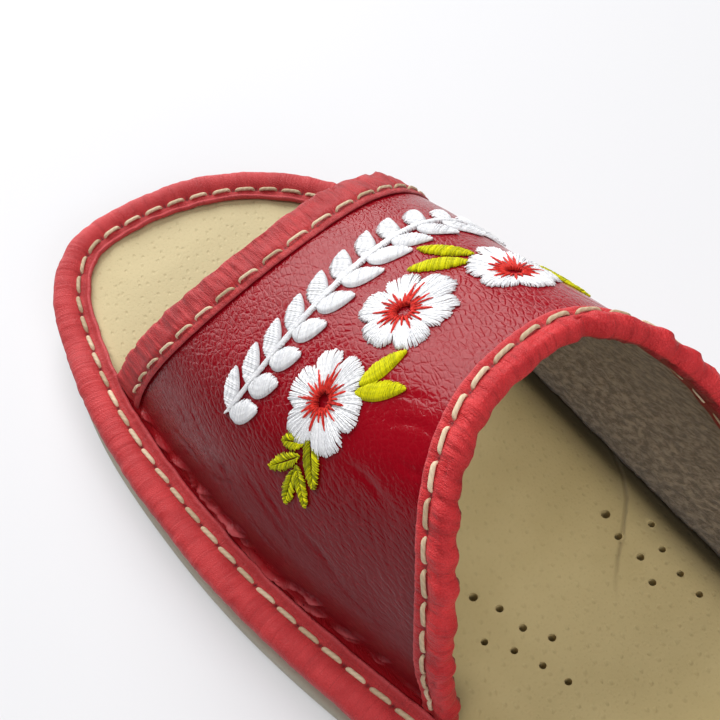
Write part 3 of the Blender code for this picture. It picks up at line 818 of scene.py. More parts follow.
vamp = {
    "stations": 150, "columns": 272, "leather": 0.8, "floor": 4.2, "crowding": 2.5, "deepest": -0.4,
    "foot": (2.5, 9.5), "lumps": ((0.16, 15.0, 41), (0.05, 4.2, 42)),
    "length": 104.0,  # from edge to edge along the inner wall
    "margin": (  # inset, height over the bed
        (5.4, 1.2), (7.2, 1.28), (8.2, 1.5), (8.7, 1.9), (8.95, 2.2), (9.2, 2.6), (9.4, 3.0), (9.6, 3.5),
    ),
    "creases": (  # along, angle at one end and at the other, sideways bow, width, depth in mm
        (0.79, 61.0, 0.93, 65.0, 0.8, 0.8, 0.16), (0.84, 55.0, 0.95, 57.0, -0.7, 0.7, 0.14),
        (0.78, 67.5, 0.89, 70.5, 0.5, 0.7, 0.12), (0.72, 47.0, 0.86, 44.0, 1.0, 0.9, 0.15),
        (0.20, 28.2, 0.33, 23.5, 0.5, 0.7, 0.16), (0.25, 31.1, 0.39, 26.7, -0.4, 0.7, 0.16),
        (0.34, 25.5, 0.47, 26.2, -0.8, 0.8, 0.18), (0.39, 26.7, 0.50, 19.0, 0.6, 0.8, 0.2),
        (0.22, 17.1, 0.37, 17.8, 0.9, 0.9, 0.2), (0.37, 17.8, 0.47, 24.5, -0.8, 0.7, 0.16),
        (0.47, 29.9, 0.60, 23.7, 0.5, 0.7, 0.16), (0.52, 31.6, 0.64, 25.5, -0.4, 0.7, 0.16),
        (0.57, 25.5, 0.67, 19.0, 0.5, 0.8, 0.18), (0.51, 19.5, 0.62, 13.8, -0.5, 0.8, 0.2),
        (0.66, 27.0, 0.80, 20.0, 0.7, 0.9, 0.18), (0.74, 22.0, 0.90, 17.0, -0.7, 0.9, 0.18),
        (0.75, 98.0, 0.92, 103.0, 0.9, 0.9, 0.14), (0.66, 118.0, 0.88, 122.0, -0.9, 0.9, 0.15),
        (0.20, 140.0, 0.45, 146.0, 0.8, 0.9, 0.16), (0.55, 150.0, 0.85, 156.0, 0.8, 1.0, 0.18),
    ),
    "folds": (  # lasting folds along the inner foot: along, angle at both ends, bow, width, height
        (0.234, 2.7, 0.309, 8.2, 0.5, 0.6, 0.7), (0.309, 8.2, 0.336, 2.4, 0.3, 0.5, 0.6),
        (0.342, 4.7, 0.391, 8.9, 0.4, 0.5, 0.7), (0.355, 4.5, 0.433, 7.2, -0.8, 0.6, 0.8),
        (0.378, 1.6, 0.463, 2.4, 0.4, 0.6, 0.8), (0.417, 5.5, 0.511, 8.2, -0.5, 0.6, 0.8),
        (0.469, 7.4, 0.505, 8.9, 0.3, 0.4, 0.5), (0.472, 1.6, 0.567, 2.2, 0.5, 0.6, 0.8),
        (0.554, 1.6, 0.626, 4.0, -0.5, 0.6, 0.8), (0.619, 2.5, 0.658, 6.7, 0.4, 0.5, 0.7),
        (0.640, 1.8, 0.720, 4.2, -0.5, 0.6, 0.8), (0.672, 5.0, 0.722, 8.2, 0.4, 0.5, 0.6),
        (0.735, 2.2, 0.815, 5.5, 0.5, 0.6, 0.7), (0.160, 2.4, 0.228, 5.2, 0.5, 0.6, 0.5),
    ),
    # ridge: the fold heights over which the painted highlight on their crests comes in
    "creaseDepth": 1.6, "foldWidth": 1.5, "foldHeight": 1.6, "ridge": (0.25, 1.1),
    "puckers": 26, "puckerHeight": 0.5, "puckerWidth": 0.55, "puckerLength": (4.0, 9.0),
    "puckerAngle": (1.8, 6.5),
    "dullAlong": (0.12, 0.58), "dullHeight": (5.0, 29.5), "dullSoft": 9.0,
}


def vampGrid(along, settings):  # places over the arch, with columns closer low on the walls
    fine = np.linspace(0.004, math.pi - 0.004, 1400)
    rows = []
    for place in along:
        run = vampSurface(np.full(len(fine), place), fine)
        above = run[:, 2] - bedLevel(run[:, 1]) > settings["floor"]
        travel = lengthAlong(run[above])
        low = np.minimum(travel, travel[-1] - travel)
        weight = 1.0 + settings["crowding"] * np.exp(-(low / 7.0) ** 2)
        effort = np.concatenate(([0.0], np.cumsum(np.diff(travel) * 0.5 * (weight[1:] + weight[:-1]))))
        rows.append(np.interp(np.linspace(0.0, effort[-1], settings["columns"]), effort, fine[above]))
    return np.repeat(along[:, None], settings["columns"], axis=1), np.array(rows)


def creaseField(points, ends, bow, width, depth):  # a soft trough with low shoulders between two ends
    steps = 24
    along = np.linspace(ends[0], ends[2], steps)
    angle = np.radians(np.linspace(ends[1], ends[3], steps))
    run, lengthwise, around, normal = vampFrame(along, angle)
    bend = np.sin(np.linspace(0.0, math.pi, steps)) * bow
    run = run + unit(np.cross(normal, unit(np.gradient(run, axis=0)))) * bend[:, None]
    flat = points.reshape(-1, 3)
    near = np.linalg.norm(flat - run.mean(axis=0), axis=1) < lengthAlong(run)[-1] * 0.6 + 6.0 * width
    gaps = np.linalg.norm(flat[near][:, None, :] - run[None], axis=2)
    closest = gaps.argmin(axis=1)
    taper = np.sin(math.pi * (0.06 + 0.88 * closest / (steps - 1.0)))
    far = gaps.min(axis=1) / width
    field = np.zeros(len(flat))
    field[near] = -depth * taper * (1.0 - 0.9 * far ** 2) * np.exp(-far ** 2)
    return field.reshape(points.shape[:2])


def puckerEnds():  # smaller seeded puckers between the folds, low on both walls
    random = np.random.default_rng(51)
    rows = []
    for inner in (True, False):
        for place in np.linspace(0.06, 0.94, vamp["puckers"]):
            along = place + random.uniform(-0.02, 0.02)
            low = random.uniform(*vamp["puckerAngle"])
            reach = random.uniform(*vamp["puckerLength"]) / vamp["length"]
            ends = [along - reach / 2.0, low, along + reach / 2.0, low + random.uniform(-0.5, 3.0)]
            if not inner:
                ends[1] = 180.0 - ends[1]
                ends[3] = 180.0 - ends[3]
            height = vamp["puckerHeight"] * random.uniform(0.5, 1.2)
            bow = random.uniform(-0.6, 0.6)
            rows.append((*ends, bow, vamp["puckerWidth"] * random.uniform(0.7, 1.2), height))
    return rows


def vampUv(points):  # length round the arch from its crest, and y, in millimetres
    steps = np.linalg.norm(np.diff(points, axis=1), axis=2)
    travel = np.concatenate((np.zeros((len(points), 1)), np.cumsum(steps, axis=1)), axis=1)
    crest = travel[:, points.shape[1] // 2][:, None]
    return np.stack((travel - crest, points[:, :, 1]), axis=-1)


def vampRelief(points):  # everything that lies in the leather itself, and its fold crests, which carry a painted highlight
    uv = vampUv(points)
    rise = unevenness(uv[:, :, 0], uv[:, :, 1], vamp["lumps"])
    for *ends, bow, wide, deep in vamp["creases"]:
        rise = rise + creaseField(points, ends, bow, wide, deep * vamp["creaseDepth"])
    folded = 0.0
    for *ends, bow, wide, high in (*vamp["folds"], *puckerEnds()):
        folded = folded + creaseField(points, ends, bow, wide * vamp["foldWidth"], -high * vamp["foldHeight"])
    return np.maximum(rise + folded, vamp["deepest"]), ramp(folded, *vamp["ridge"])


def makeVamp():
    along, across = vampGrid(np.linspace(0.0, 1.0, vamp["stations"]), vamp)
    surface = vampSurface(along, across)
    margins = []
    for side, column in (("inner", 0), ("outer", -1)):
        y = surface[:, column, 1]
        runs = [(sideAt(inset, y, side), y, bedLevel(y) + height) for inset, height in vamp["margin"]]
        margins.append(np.array(runs).transpose(2, 0, 1))
    points = np.concatenate((margins[0], surface, margins[1][:, ::-1]), axis=1)
    facing = unit(np.cross(np.gradient(points, axis=0), np.gradient(points, axis=1)))
    high = points[:, :, 2] - bedLevel(points[:, :, 1])
    foot = 1.0 - ramp(high, *vamp["foot"])
    low, top = vamp["dullHeight"]
    edge = low + (top - low) * ramp(along[:, :1], *vamp["dullAlong"])
    shine = np.maximum(smoothStep((high - edge) / vamp["dullSoft"] + 0.5), foot)
    relief, ridge = vampRelief(points)
    points = points + facing * relief[:, :, None]
    piece = shapedGrid("vamp_leather", points, vampUv(points), foot=foot, shine=shine, ridge=ridge)
    thicken(piece, vamp["leather"])
    finishPiece(piece, "vamp", ("vamp",))


lining = {"stations": 110, "columns": 210, "under": 1.15, "thickness": 0.65, "clump": 0.2,
          "front": 0.02, "throat": 0.975, "floor": 3.4, "crowding": 0.0, "foot": (0.1, 1.2, 2.4)}


def makeLining():
    places = np.linspace(lining["front"], lining["throat"], lining["stations"])
    surface, lengthwise, around, normal = vampFrame(*vampGrid(places, lining))
    points = surface - normal * lining["under"]
    feet = []
    for column in (0, -1):  # the nap side reaches down to the insole
        x, y, z = points[:, column].T
        runs = [(x, y, bedLevel(y) + height) for height in lining["foot"]]
        feet.append(np.array(runs).transpose(2, 0, 1))
    points = np.concatenate((feet[0], points, feet[1][:, ::-1]), axis=1)
    piece = shapedGrid("vamp_lining", points, vampUv(points))
    thicken(piece, lining["thickness"])
    mesh = piece.data
    spot = readOut(mesh.vertices, "co") / mm
    nap = slice(len(spot) // 2, None)  # clumps on the nap side only, the glued side stays put
    x, y, z = spot[nap].T
    clumps = softNoise(y + x, z, 1.5, 61) + 0.6 * softNoise(y, z - x, 3.1, 62)
    spot[nap] += readOut(mesh.vertices, "normal")[nap] * (lining["clump"] * clumps)[:, None]
    mesh.vertices.foreach_set("co", (spot * mm).ravel())
    mesh.update()
    finishPiece(piece, "lining")


toeBinding = {
    "name": "toe_binding_strip", "node": "toe_binding", "edge": 0.0, "into": 1.0, "count": 560, "section": 46,
    "stitchBack": 7.6, "stitchSeat": 0.86, "pitch": 5.94, "phase": -55.1, "thread": 0.68,
    # soil: painted shade over the whole toe strip, which stands brighter in the light than the throat's;
    # inside: the same painted shade on its inner leaf
    "soil": 0.27, "inside": 0.27, "gather": 0.4, "wrinkle": 0.24, "gatherCell": 2.6, "seed": 200,
    "rows": (  # distance back from the vamp's edge, height over its face, share of the gathers
        (9.75, 0.2, 0.05), (9.85, 0.45, 0.05), (9.65, 0.62, 0.1), (8.7, 0.75, 0.12), (7.6, 0.55, 0.12),
        (6.7, 0.9, 0.35), (5.2, 1.05, 0.6), (3.2, 1.15, 0.8), (1.4, 1.2, 1.0), (0.1, 1.05, 1.0),
        (-0.75, 0.55, 1.0), (-1.1, -0.5, 1.0), (-1.0, -1.6, 1.0), (-0.3, -2.4, 0.8), (1.2, -2.75, 0.5),
        (5.0, -2.7, 0.3), (9.2, -2.75, 0.2), (9.7, -2.5, 0.1), (9.3, -2.1, 0.0), (5.0, -1.98, 0.0),
        (1.0, -1.95, 0.0), (-0.3, -1.5, 0.0), (-0.3, -0.3, 0.0), (0.4, 0.3, 0.0), (5.0, 0.32, 0.0),
    ),
}

throatBinding = {
    "name": "throat_binding_strip", "node": "throat_binding", "edge": 1.0, "into": -1.0,
    "count": 620, "section": 46, "gather": 0.55, "wrinkle": 0.24, "gatherCell": 2.9, "seed": 300,
    "stitchBack": 3.2, "stitchSeat": 0.7, "pitch": 5.77, "phase": -31.5, "thread": 0.86,
    # inside: painted shade on the inner leaf, which lies in the lining's shadow
    "soil": 0.0, "inside": 0.5,
    "rows": (
        (5.35, 0.2, 0.05), (5.45, 0.45, 0.05), (5.25, 0.62, 0.1), (4.3, 0.75, 0.15), (3.2, 0.55, 0.15),
        (2.3, 0.95, 0.4), (1.2, 1.15, 0.8), (0.2, 1.05, 1.0), (-0.7, 0.6, 1.0), (-1.1, -0.3, 1.0),
        (-1.1, -1.3, 1.0), (-0.7, -2.2, 1.0), (0.1, -2.65, 0.8), (1.6, -2.8, 0.5), (3.4, -2.7, 0.3),
        (5.3, -2.8, 0.3), (5.7, -2.5, 0.2), (5.3, -2.1, 0.0), (3.4, -1.98, 0.0), (1.0, -1.95, 0.0),
        (-0.3, -1.5, 0.0), (-0.3, -0.3, 0.0), (0.3, 0.28, 0.0), (3.0, 0.3, 0.0),
    ),
}

strip = {  # what both bindings share
    "floor": 2.5,  # ends over the bed, tucked behind the band's lip
    "innerLeaf": -2.2,  # what lies lower under the vamp's face is the inner leaf
    "creaseCells": (0.9, 1.9), "drift": (0.25, 0.3, 0.5),  # folds along the strip, their drift across it
    "grooveWidth": 0.8, "sink": 0.22, "roundBack": 2.0, "worn": 0.8, "wornWidth": 0.3,
}


def bindingAngles(settings):  # even steps along the edge between the band on both sides
    fine = np.linspace(0.01, math.pi - 0.01, 3000)
    run = vampSurface(np.full(len(fine), settings["edge"]), fine)
    above = run[:, 2] - bedLevel(run[:, 1]) > strip["floor"]
    fine = fine[above]
    travel = lengthAlong(run[above])
    wanted = np.linspace(0.0, travel[-1], settings["count"])
    angle = np.interp(wanted, travel, fine)
    crest = np.interp(math.pi / 2.0, fine, travel)
    return angle, wanted - crest


def bindingPoint(settings, angle, back, height):
    edge = np.full(len(angle), settings["edge"])
    lengthwise = vampFrame(edge, angle)[1]
    shifted = edge + settings["into"] * back / np.linalg.norm(lengthwise, axis=1)
    point, lengthwise, around, normal = vampFrame(shifted, angle)
    return point + normal * np.reshape(height, (-1, 1)), normal


def stitchTravel(settings, angle):  # length along the stitch row from the crest
    run = bindingPoint(settings, angle, settings["stitchBack"], 1.0)[0]
    travel = lengthAlong(run)
    return travel - np.interp(math.pi / 2.0, angle, travel)


def makeBinding(settings):
    angle, travel = bindingAngles(settings)
    section = closedRun(closedSpline(np.array(settings["rows"]), settings["section"]))
    turn = 2.0 * math.pi * (stitchTravel(settings, angle) - settings["phase"]) / settings["pitch"]
    pulled = 0.5 - 0.5 * np.cos(turn)
    columns = []
    holes = []
    worn = []
    rear = settings["rows"][1][0]
    wrinkle = settings["wrinkle"]
    seed = settings["seed"]
    gatherDrift, fineDrift, wideDrift = strip["drift"]
    fineCell, wideCell = strip["creaseCells"]
    for back, height, share in section:
        gather = softNoise(travel, gatherDrift * back, settings["gatherCell"], seed)
        gather = settings["gather"] * (gather + 0.5 - pulled)
        crease = wrinkle * softNoise(travel, fineDrift * back, fineCell, seed + 1)
        crease = crease + 0.6 * wrinkle * softNoise(travel, wideDrift * back, wideCell, seed + 2)
        groove = hump(back, settings["stitchBack"], strip["grooveWidth"]) * (height > 0.5)
        bulge = share * gather + crease * (height > 0.2 or back < 0.5) * min(1.0, share + 0.35)
        outward = np.sign(height + 0.9) * bulge if back > 0.0 else 0.0
        sink = strip["sink"] * groove * pulled
        fade = 1.0 if back < 1.0 else math.exp(-back / strip["roundBack"])
        ahead = share * (gather + 0.5 * crease) * fade
        columns.append(bindingPoint(settings, angle, back - ahead, height + outward - sink)[0])
        # painted shade: the inner leaf darker by inside, the rest of the strip by soil
        soil = settings["inside"] if height < strip["innerLeaf"] else settings["soil"]
        holes.append(np.maximum(needleHoleShade(groove, pulled), soil))
        # paler along the strip's rear edge
        worn.append(strip["worn"] * hump(back, rear, strip["wornWidth"]) * (height > 0.0) + 0.0 * travel)
    points = np.stack(columns, axis=1)
    uv = np.stack(np.broadcast_arrays(travel[:, None], np.arange(len(section)) * 0.09), axis=-1)
    holes = np.stack(holes, axis=1)
    body = shapedGrid(settings["name"], points, uv, hole=holes, worn=np.stack(worn, axis=1))
    bpy.ops.object.mode_set(mode="EDIT")  # close both ends of the folded strip
    bpy.ops.mesh.select_all(action="DESELECT")
    bpy.ops.mesh.select_mode(type="EDGE")
    bpy.ops.mesh.select_non_manifold(extend=False, use_wire=False, use_multi_face=False, use_verts=False)
    bpy.ops.mesh.fill()
    bpy.ops.mesh.select_all(action="SELECT")
    bpy.ops.mesh.normals_make_consistent(inside=False)
    bpy.ops.object.mode_set(mode="OBJECT")
    bpy.ops.object.shade_smooth_by_angle(angle=math.radians(70.0))
    finishPiece(body, "binding", (settings["node"],))


# Sewing

stitch = {"length": 4.6, "thread": 0.5, "flat": 0.8, "steps": 15, "sides": 9, "sink": 0.9, "slant": 0.16,
          "lengths": (0.93, 1.05), "tilts": (0.4, 1.4), "girths": (0.94, 1.06),  # how much they vary
          "endGap": 2.4, "backSeat": -2.74, "backThread": 0.42}  # ends of a row left bare, its inner side


def sewRow(name, centres, pointAt, seed, size=1.0):  # plump stitches along a row, ends into the holes
    random = np.random.default_rng(seed)
    share = np.linspace(-1.0, 1.0, stitch["steps"])
    length = stitch["length"] * random.uniform(*stitch["lengths"], len(centres))
    travel = centres[:, None] + share * length[:, None] / 2.0
    tilt = stitch["slant"] * share * random.uniform(*stitch["tilts"], (len(centres), 1))
    base, upward = pointAt(travel.ravel(), tilt.ravel())
    upward = upward.reshape(*travel.shape, 3)
    thread = stitch["thread"] * size
    lift = thread * 0.7 - stitch["sink"] * np.abs(share) ** 7
    paths = base.reshape(*travel.shape, 3) + upward * lift[:, None]
    thick = thread * (1.0 - 0.35 * np.abs(share) ** 6)
    radii = thick * random.uniform(*stitch["girths"], (len(centres), 1))
    tones = random.uniform(0.0, 1.0, len(centres))
    piece = joinedTubes(name, paths, upward, radii, stitch["sides"], tones, stitch["flat"])
    finishPiece(piece, "stitch")


def makeBandStitches():
    flat, ways, travel = rimPoints(2400, band["stitchInset"])
    pitch = travel[-1] / band["stitches"]
    centres = band["stitchPhase"] + pitch * np.arange(band["stitches"])

    def pointAt(wanted, tilt):
        place = np.mod(wanted, travel[-1])
        found = lookUp(place, travel, np.column_stack((flat, ways)))
        inset = (band["stitchInset"] + tilt)[:, None]
        base = bandPoint(found[:, :2], found[:, 2:], inset, band["seat"], 1.0)
        return base, np.broadcast_to((0.0, 0.0, 1.0), base.shape)

    sewRow("band_stitches", centres, pointAt, 71)


def makeBindingStitches(name, settings, seed, within=False):
    angle = bindingAngles(settings)[0]
    fine = np.linspace(angle[0], angle[-1], 2000)
    travel = stitchTravel(settings, fine)
    phase = settings["phase"] + (settings["pitch"] / 2.0 if within else 0.0)
    first = math.ceil((travel[0] + stitch["endGap"] - phase) / settings["pitch"])
    final = math.floor((travel[-1] - stitch["endGap"] - phase) / settings["pitch"])
    centres = phase + settings["pitch"] * np.arange(first, final + 1)

    def pointAt(wanted, tilt):
        there = np.interp(wanted, travel, fine)
        height = stitch["backSeat"] if within else settings["stitchSeat"]
        base, normal = bindingPoint(settings, there, settings["stitchBack"] + tilt, height + 0.0 * there)
        return base, -normal if within else normal

    sewRow(name, centres, pointAt, seed, stitch["backThread"] if within else settings["thread"])


# Embroidery: threads laid on the vamp, drawn in millimetres round a place on it

silk = {"radius": 0.15, "steps": 8, "sides": 5, "sit": 0.1}


class Patch:  # millimetres on the leather round one place
    def __init__(self, along, degrees):
        self.along = along
        self.angle = math.radians(degrees)
        point, lengthwise, around, normal = vampFrame(np.array(along), np.array(self.angle))
        forward = lengthwise / np.linalg.norm(lengthwise)
        aside = np.cross(normal, forward)
        self.toLocal = np.array((
            (lengthwise @ forward, around @ forward), (lengthwise @ aside, around @ aside)))
        self.toSurface = np.linalg.inv(self.toLocal)

    def local(self, along, degrees):  # millimetres of another place on the vamp
        return self.toLocal @ np.array((along - self.along, math.radians(degrees) - self.angle))

    def lay(self, x, y, height):  # points and normals at local millimetres
        along = self.along + self.toSurface[0, 0] * x + self.toSurface[0, 1] * y
        angle = self.angle + self.toSurface[1, 0] * x + self.toSurface[1, 1] * y
        point, lengthwise, around, normal = vampFrame(along, angle)
        return point + normal * height[..., None], normal


def layThreads(patch, starts, ends, lift, arch, thickness=1.0):  # straight threads between local points
    share = np.linspace(0.0, 1.0, silk["steps"])
    x = starts[:, :1] * (1.0 - share) + ends[:, :1] * share
    y = starts[:, 1:] * (1.0 - share) + ends[:, 1:] * share
    dome = 1.0 - np.abs(2.0 * share - 1.0) ** 3.0
    lift = np.reshape(lift, (-1, 1))
    arch = np.reshape(arch, (-1, 1))
    height = silk["sit"] + lift * np.minimum(1.0, 3.0 * dome) + arch * dome
    paths, upward = patch.lay(x, y, height)
    taper = 1.0 - 0.35 * np.abs(2.0 * share - 1.0) ** 6.0
    radii = np.broadcast_to(silk["radius"] * thickness * taper, x.shape)
    return paths, upward, radii


class Threads:  # gathers laid threads until they are joined
    def __init__(self, seed):
        self.random = np.random.default_rng(seed)
        self.parts = []
        self.tones = []

    def add(self, laid, tones):
        self.parts.append(laid)
        self.tones.append(tones)

    def build(self, name, finish):
        paths, upward, radii = (np.concatenate(column) for column in zip(*self.parts))
        piece = joinedTubes(name, paths, upward, radii, silk["sides"], np.concatenate(self.tones))
        finishPiece(piece, finish)


flowers = {
    "places": (  # along, angle, turn of the first lobe, size, lean of the heart in millimetres
        (0.597, 55.5, 149.0, 1.0, (0.0, 0.0)), (0.618, 83.2, 173.0, 0.96, (0.3, 0.0)),
        (0.664, 111.0, 196.0, 0.95, (3.0, -2.2)),
    ),
    "lobes": (  # width in degrees, reach in millimetres
        (47.0, 9.3), (60.0, 9.3), (61.0, 8.7), (59.0, 9.2), (63.0, 8.7), (70.0, 8.6),
    ),
    "notch": 5.0, "eye": 1.45, "pitch": 0.18, "ragged": 0.32, "crown": 0.24, "bundle": 6.0,
    "reach": 8.6, "longInner": 1.7, "shortInner": (2.4, 4.4), "gathered": 0.74, "lift": (0.08, 0.3),
    "streakLift": 0.46, "streakFan": (7.0, 1.2), "streakThread": 0.9,
    "ring": 60, "ringReach": (1.9, 2.9), "ringLift": 0.36, "heartArch": 0.22,
    "streaks": (  # angle from the first lobe's start, reach in millimetres, threads
        (6, 6.4, 3), (18, 4.0, 2), (33, 5.0, 3), (46, 7.4, 5), (58, 7.0, 3), (76, 4.6, 2), (88, 5.6, 3),
        (104, 6.4, 2), (117, 4.2, 2), (131, 6.6, 3), (150, 4.4, 2), (166, 6.0, 2), (180, 4.0, 2),
        (194, 6.6, 3), (212, 4.6, 2), (232, 7.0, 3), (246, 4.4, 2), (262, 6.0, 3), (276, 6.4, 4),
        (292, 4.6, 2), (306, 6.4, 3), (322, 4.4, 2), (336, 5.8, 3), (350, 4.6, 3),
    ),
}


def lobeReach(turn):  # outline of the flower, turn in degrees from its first lobe
    turn = np.mod(turn, 360.0)
    reach = np.zeros(turn.shape)
    start = 0.0
    for wide, tip in flowers["lobes"]:
        inside = (turn >= start) & (turn < start + wide)
        off = np.abs(2.0 * (turn - start) / wide - 1.0)
        shape = flowers["notch"] + (tip - flowers["notch"]) * (1.0 - off ** 3.6) ** 0.42
        reach = np.where(inside, shape, reach)
        start += wide
    return reach


def rayPoints(turns, reach, start):  # local points on rays, turning clockwise from the start
    angle = np.radians(start - turns)
    return np.column_stack((np.cos(angle), np.sin(angle))) * np.reshape(reach, (-1, 1))


def makeFlower(number, along, degrees, start, size, lean):
    patch = Patch(along, degrees)

    def leaned(points):  # the heart drawn aside, the outline left where it is
        share = np.linalg.norm(points, axis=1) / (flowers["reach"] * size)
        return points + np.array(lean) * np.clip(1.0 - share, 0.0, 1.0)[:, None]

    petals = Threads(80 + number)
    random = petals.random
    count = int(2.0 * math.pi * flowers["reach"] / flowers["pitch"])
    turns = (np.arange(count) + random.uniform(-0.3, 0.3, count)) * 360.0 / count
    bundle = np.floor(turns / flowers["bundle"]).astype(int)
    spread = random.uniform(-1.0, 1.0, bundle.max() + 2)[bundle]
    reach = lobeReach(turns) + (0.6 * spread + random.uniform(-0.6, 0.6, count)) * flowers["ragged"]
    inner = random.uniform(*flowers["shortInner"], count)
    inner = np.where(np.arange(count) % 3 == 0, flowers["longInner"], inner)
    middles = (bundle + 0.5) * flowers["bundle"]
    gathered = middles + (turns - middles) * flowers["gathered"]
    starts = rayPoints(turns, inner * size, start)
    ends = rayPoints(gathered, reach * size, start) + random.uniform(-0.1, 0.1, (count, 2))
    lift = random.uniform(*flowers["lift"], count)
    arch = flowers["crown"] * random.uniform(0.75, 1.1, count)
    petals.add(layThreads(patch, leaned(starts), leaned(ends), lift, arch), random.uniform(0.4, 1.0, count))
    petals.build(f"flower_{number}_petals", "white")
    heart = Threads(90 + number)
    random = heart.random
    fanned, closed = flowers["streakFan"]  # degrees between a streak's threads at the eye and at its tip
    arch = flowers["heartArch"]
    for turn, length, threads in flowers["streaks"]:
        offset = np.arange(threads) - (threads - 1) / 2.0
        high = length * (1.0 - 0.16 * np.abs(offset)) * random.uniform(0.85, 1.0, threads)
        starts = rayPoints(turn + fanned * offset, flowers["eye"] * size, start)
        ends = rayPoints(turn + closed * offset, high * size, start)
        lift = flowers["streakLift"]
        laid = layThreads(patch, leaned(starts), leaned(ends), lift, arch, flowers["streakThread"])
        heart.add(laid, random.uniform(0.35, 1.0, threads))
    count = flowers["ring"]
    turns = np.arange(count) * 360.0 / count + random.uniform(-2.0, 2.0, count)
    low = flowers["eye"] * random.uniform(0.8, 1.2, count)
    high = random.uniform(*flowers["ringReach"], count)
    starts = rayPoints(turns, low * size, start)
    ends = rayPoints(turns, high * size, start)
    laid = layThreads(patch, leaned(starts), leaned(ends), flowers["ringLift"], arch)
    heart.add(laid, random.uniform(0.2, 0.8, count))
    heart.build(f"flower_{number}_heart", "red")


def leafWidth(share, blunt):  # half width along a leaf, from its base to its tip
    return np.sin(math.pi * np.clip(share, 0.0, 1.0) ** blunt) ** 0.75


satin = {
    "across": (0.15, 0.25), "midrib": (0.24, 0.8),  # spacing of a leaf's threads and their slant
    "lift": (0.08, 0.25), "ragged": 0.2, "thread": 0.76,
}


def addLeaf(threads, base, tip, wide, style, tones, blunt):
    # A satin leaf between two places on the vamp: threads right across, or from the midrib to both edges
    patch = Patch((base[0] + tip[0]) / 2.0, (base[1] + tip[1]) / 2.0)
    random = threads.random
    start = patch.local(*base)
    axis = patch.local(*tip) - start
    length = float(np.linalg.norm(axis))
    axis = axis / length
    aside = np.array((-axis[1], axis[0]))
    across = style == "across"
    pitch, slant = satin[style]
    count = int(length / pitch)
    share = (np.arange(count) + 0.5) / count
    half = wide / 2.0 * leafWidth(share, blunt) + 0.1
    middle = start + axis * (share * length)[:, None]
    for near, far in (((-1.0, 1.0),) if across else ((0.1, 1.0), (-0.1, -1.0))):
        spread = np.sign(far) * (half + random.uniform(-satin["ragged"], satin["ragged"], count))
        lean = slant * (spread if across else np.abs(spread))
        ends = middle + aside * spread[:, None] + axis * lean[:, None]
        starts = middle + aside * (half * near)[:, None] + axis * (half * slant * near * across)[:, None]
        lift = random.uniform(*satin["lift"], count)
        arch = (0.1 + 0.16 * half if across else 0.1) * random.uniform(0.85, 1.1, count)
        laid = layThreads(patch, starts, ends, lift, arch, satin["thread"])
        threads.add(laid, random.uniform(*tones, count))


leafGroups = {
    "leaf_pair_inner": ("across", (0.5, 1.0), 0.9, (  # base, tip, width
        ((0.665, 63.7), (0.724, 76.6), 3.2), ((0.667, 61.7), (0.792, 69.6), 3.3))),
    "leaf_spray": ("midrib", (0.0, 1.0), 0.7, (
        ((0.605, 45.0), (0.543, 42.1), 2.8), ((0.605, 41.7), (0.542, 35.2), 2.7),
        ((0.604, 38.2), (0.612, 30.4), 2.7), ((0.605, 39.6), (0.664, 32.5), 2.4),
        ((0.602, 48.0), (0.668, 37.4), 3.5))),
    "leaf_pair_outer": ("across", (0.4, 1.0), 0.9, (
        ((0.572, 106.0), (0.452, 96.8), 3.3), ((0.600, 102.2), (0.505, 90.6), 3.4))),
    "leaf_far": ("across", (0.4, 1.0), 0.9, (
        ((0.614, 125.0), (0.691, 136.0), 3.2), ((0.640, 124.0), (0.732, 131.0), 3.2))),
}


def makeLeaves():
    for order, (name, (style, tones, blunt, leaves)) in enumerate(leafGroups.items()):
        threads = Threads(100 + order)
        for base, tip, wide in leaves:
            addLeaf(threads, base, tip, wide, style, tones, blunt)
        threads.build(name, "lime")


sprig = {"start": 38.0, "end": 131.0, "along": 0.366, "wave": 0.012, "pairs": 11, "leaf": 8.6, "wide": 4.3,
         "spread": 42.0, "endLeaf": 5.0, "stem": (0.55, 0.62), "stemPitch": 0.24, "stemLift": 0.3,
         "tones": (0.35, 1.0), "blunt": 0.8}


def sprigAlong(degrees):  # the stem's gentle wave round the arch
    share = (degrees - sprig["start"]) / (sprig["end"] - sprig["start"])
    return sprig["along"] + sprig["wave"] * np.sin(2.0 * math.pi * share)


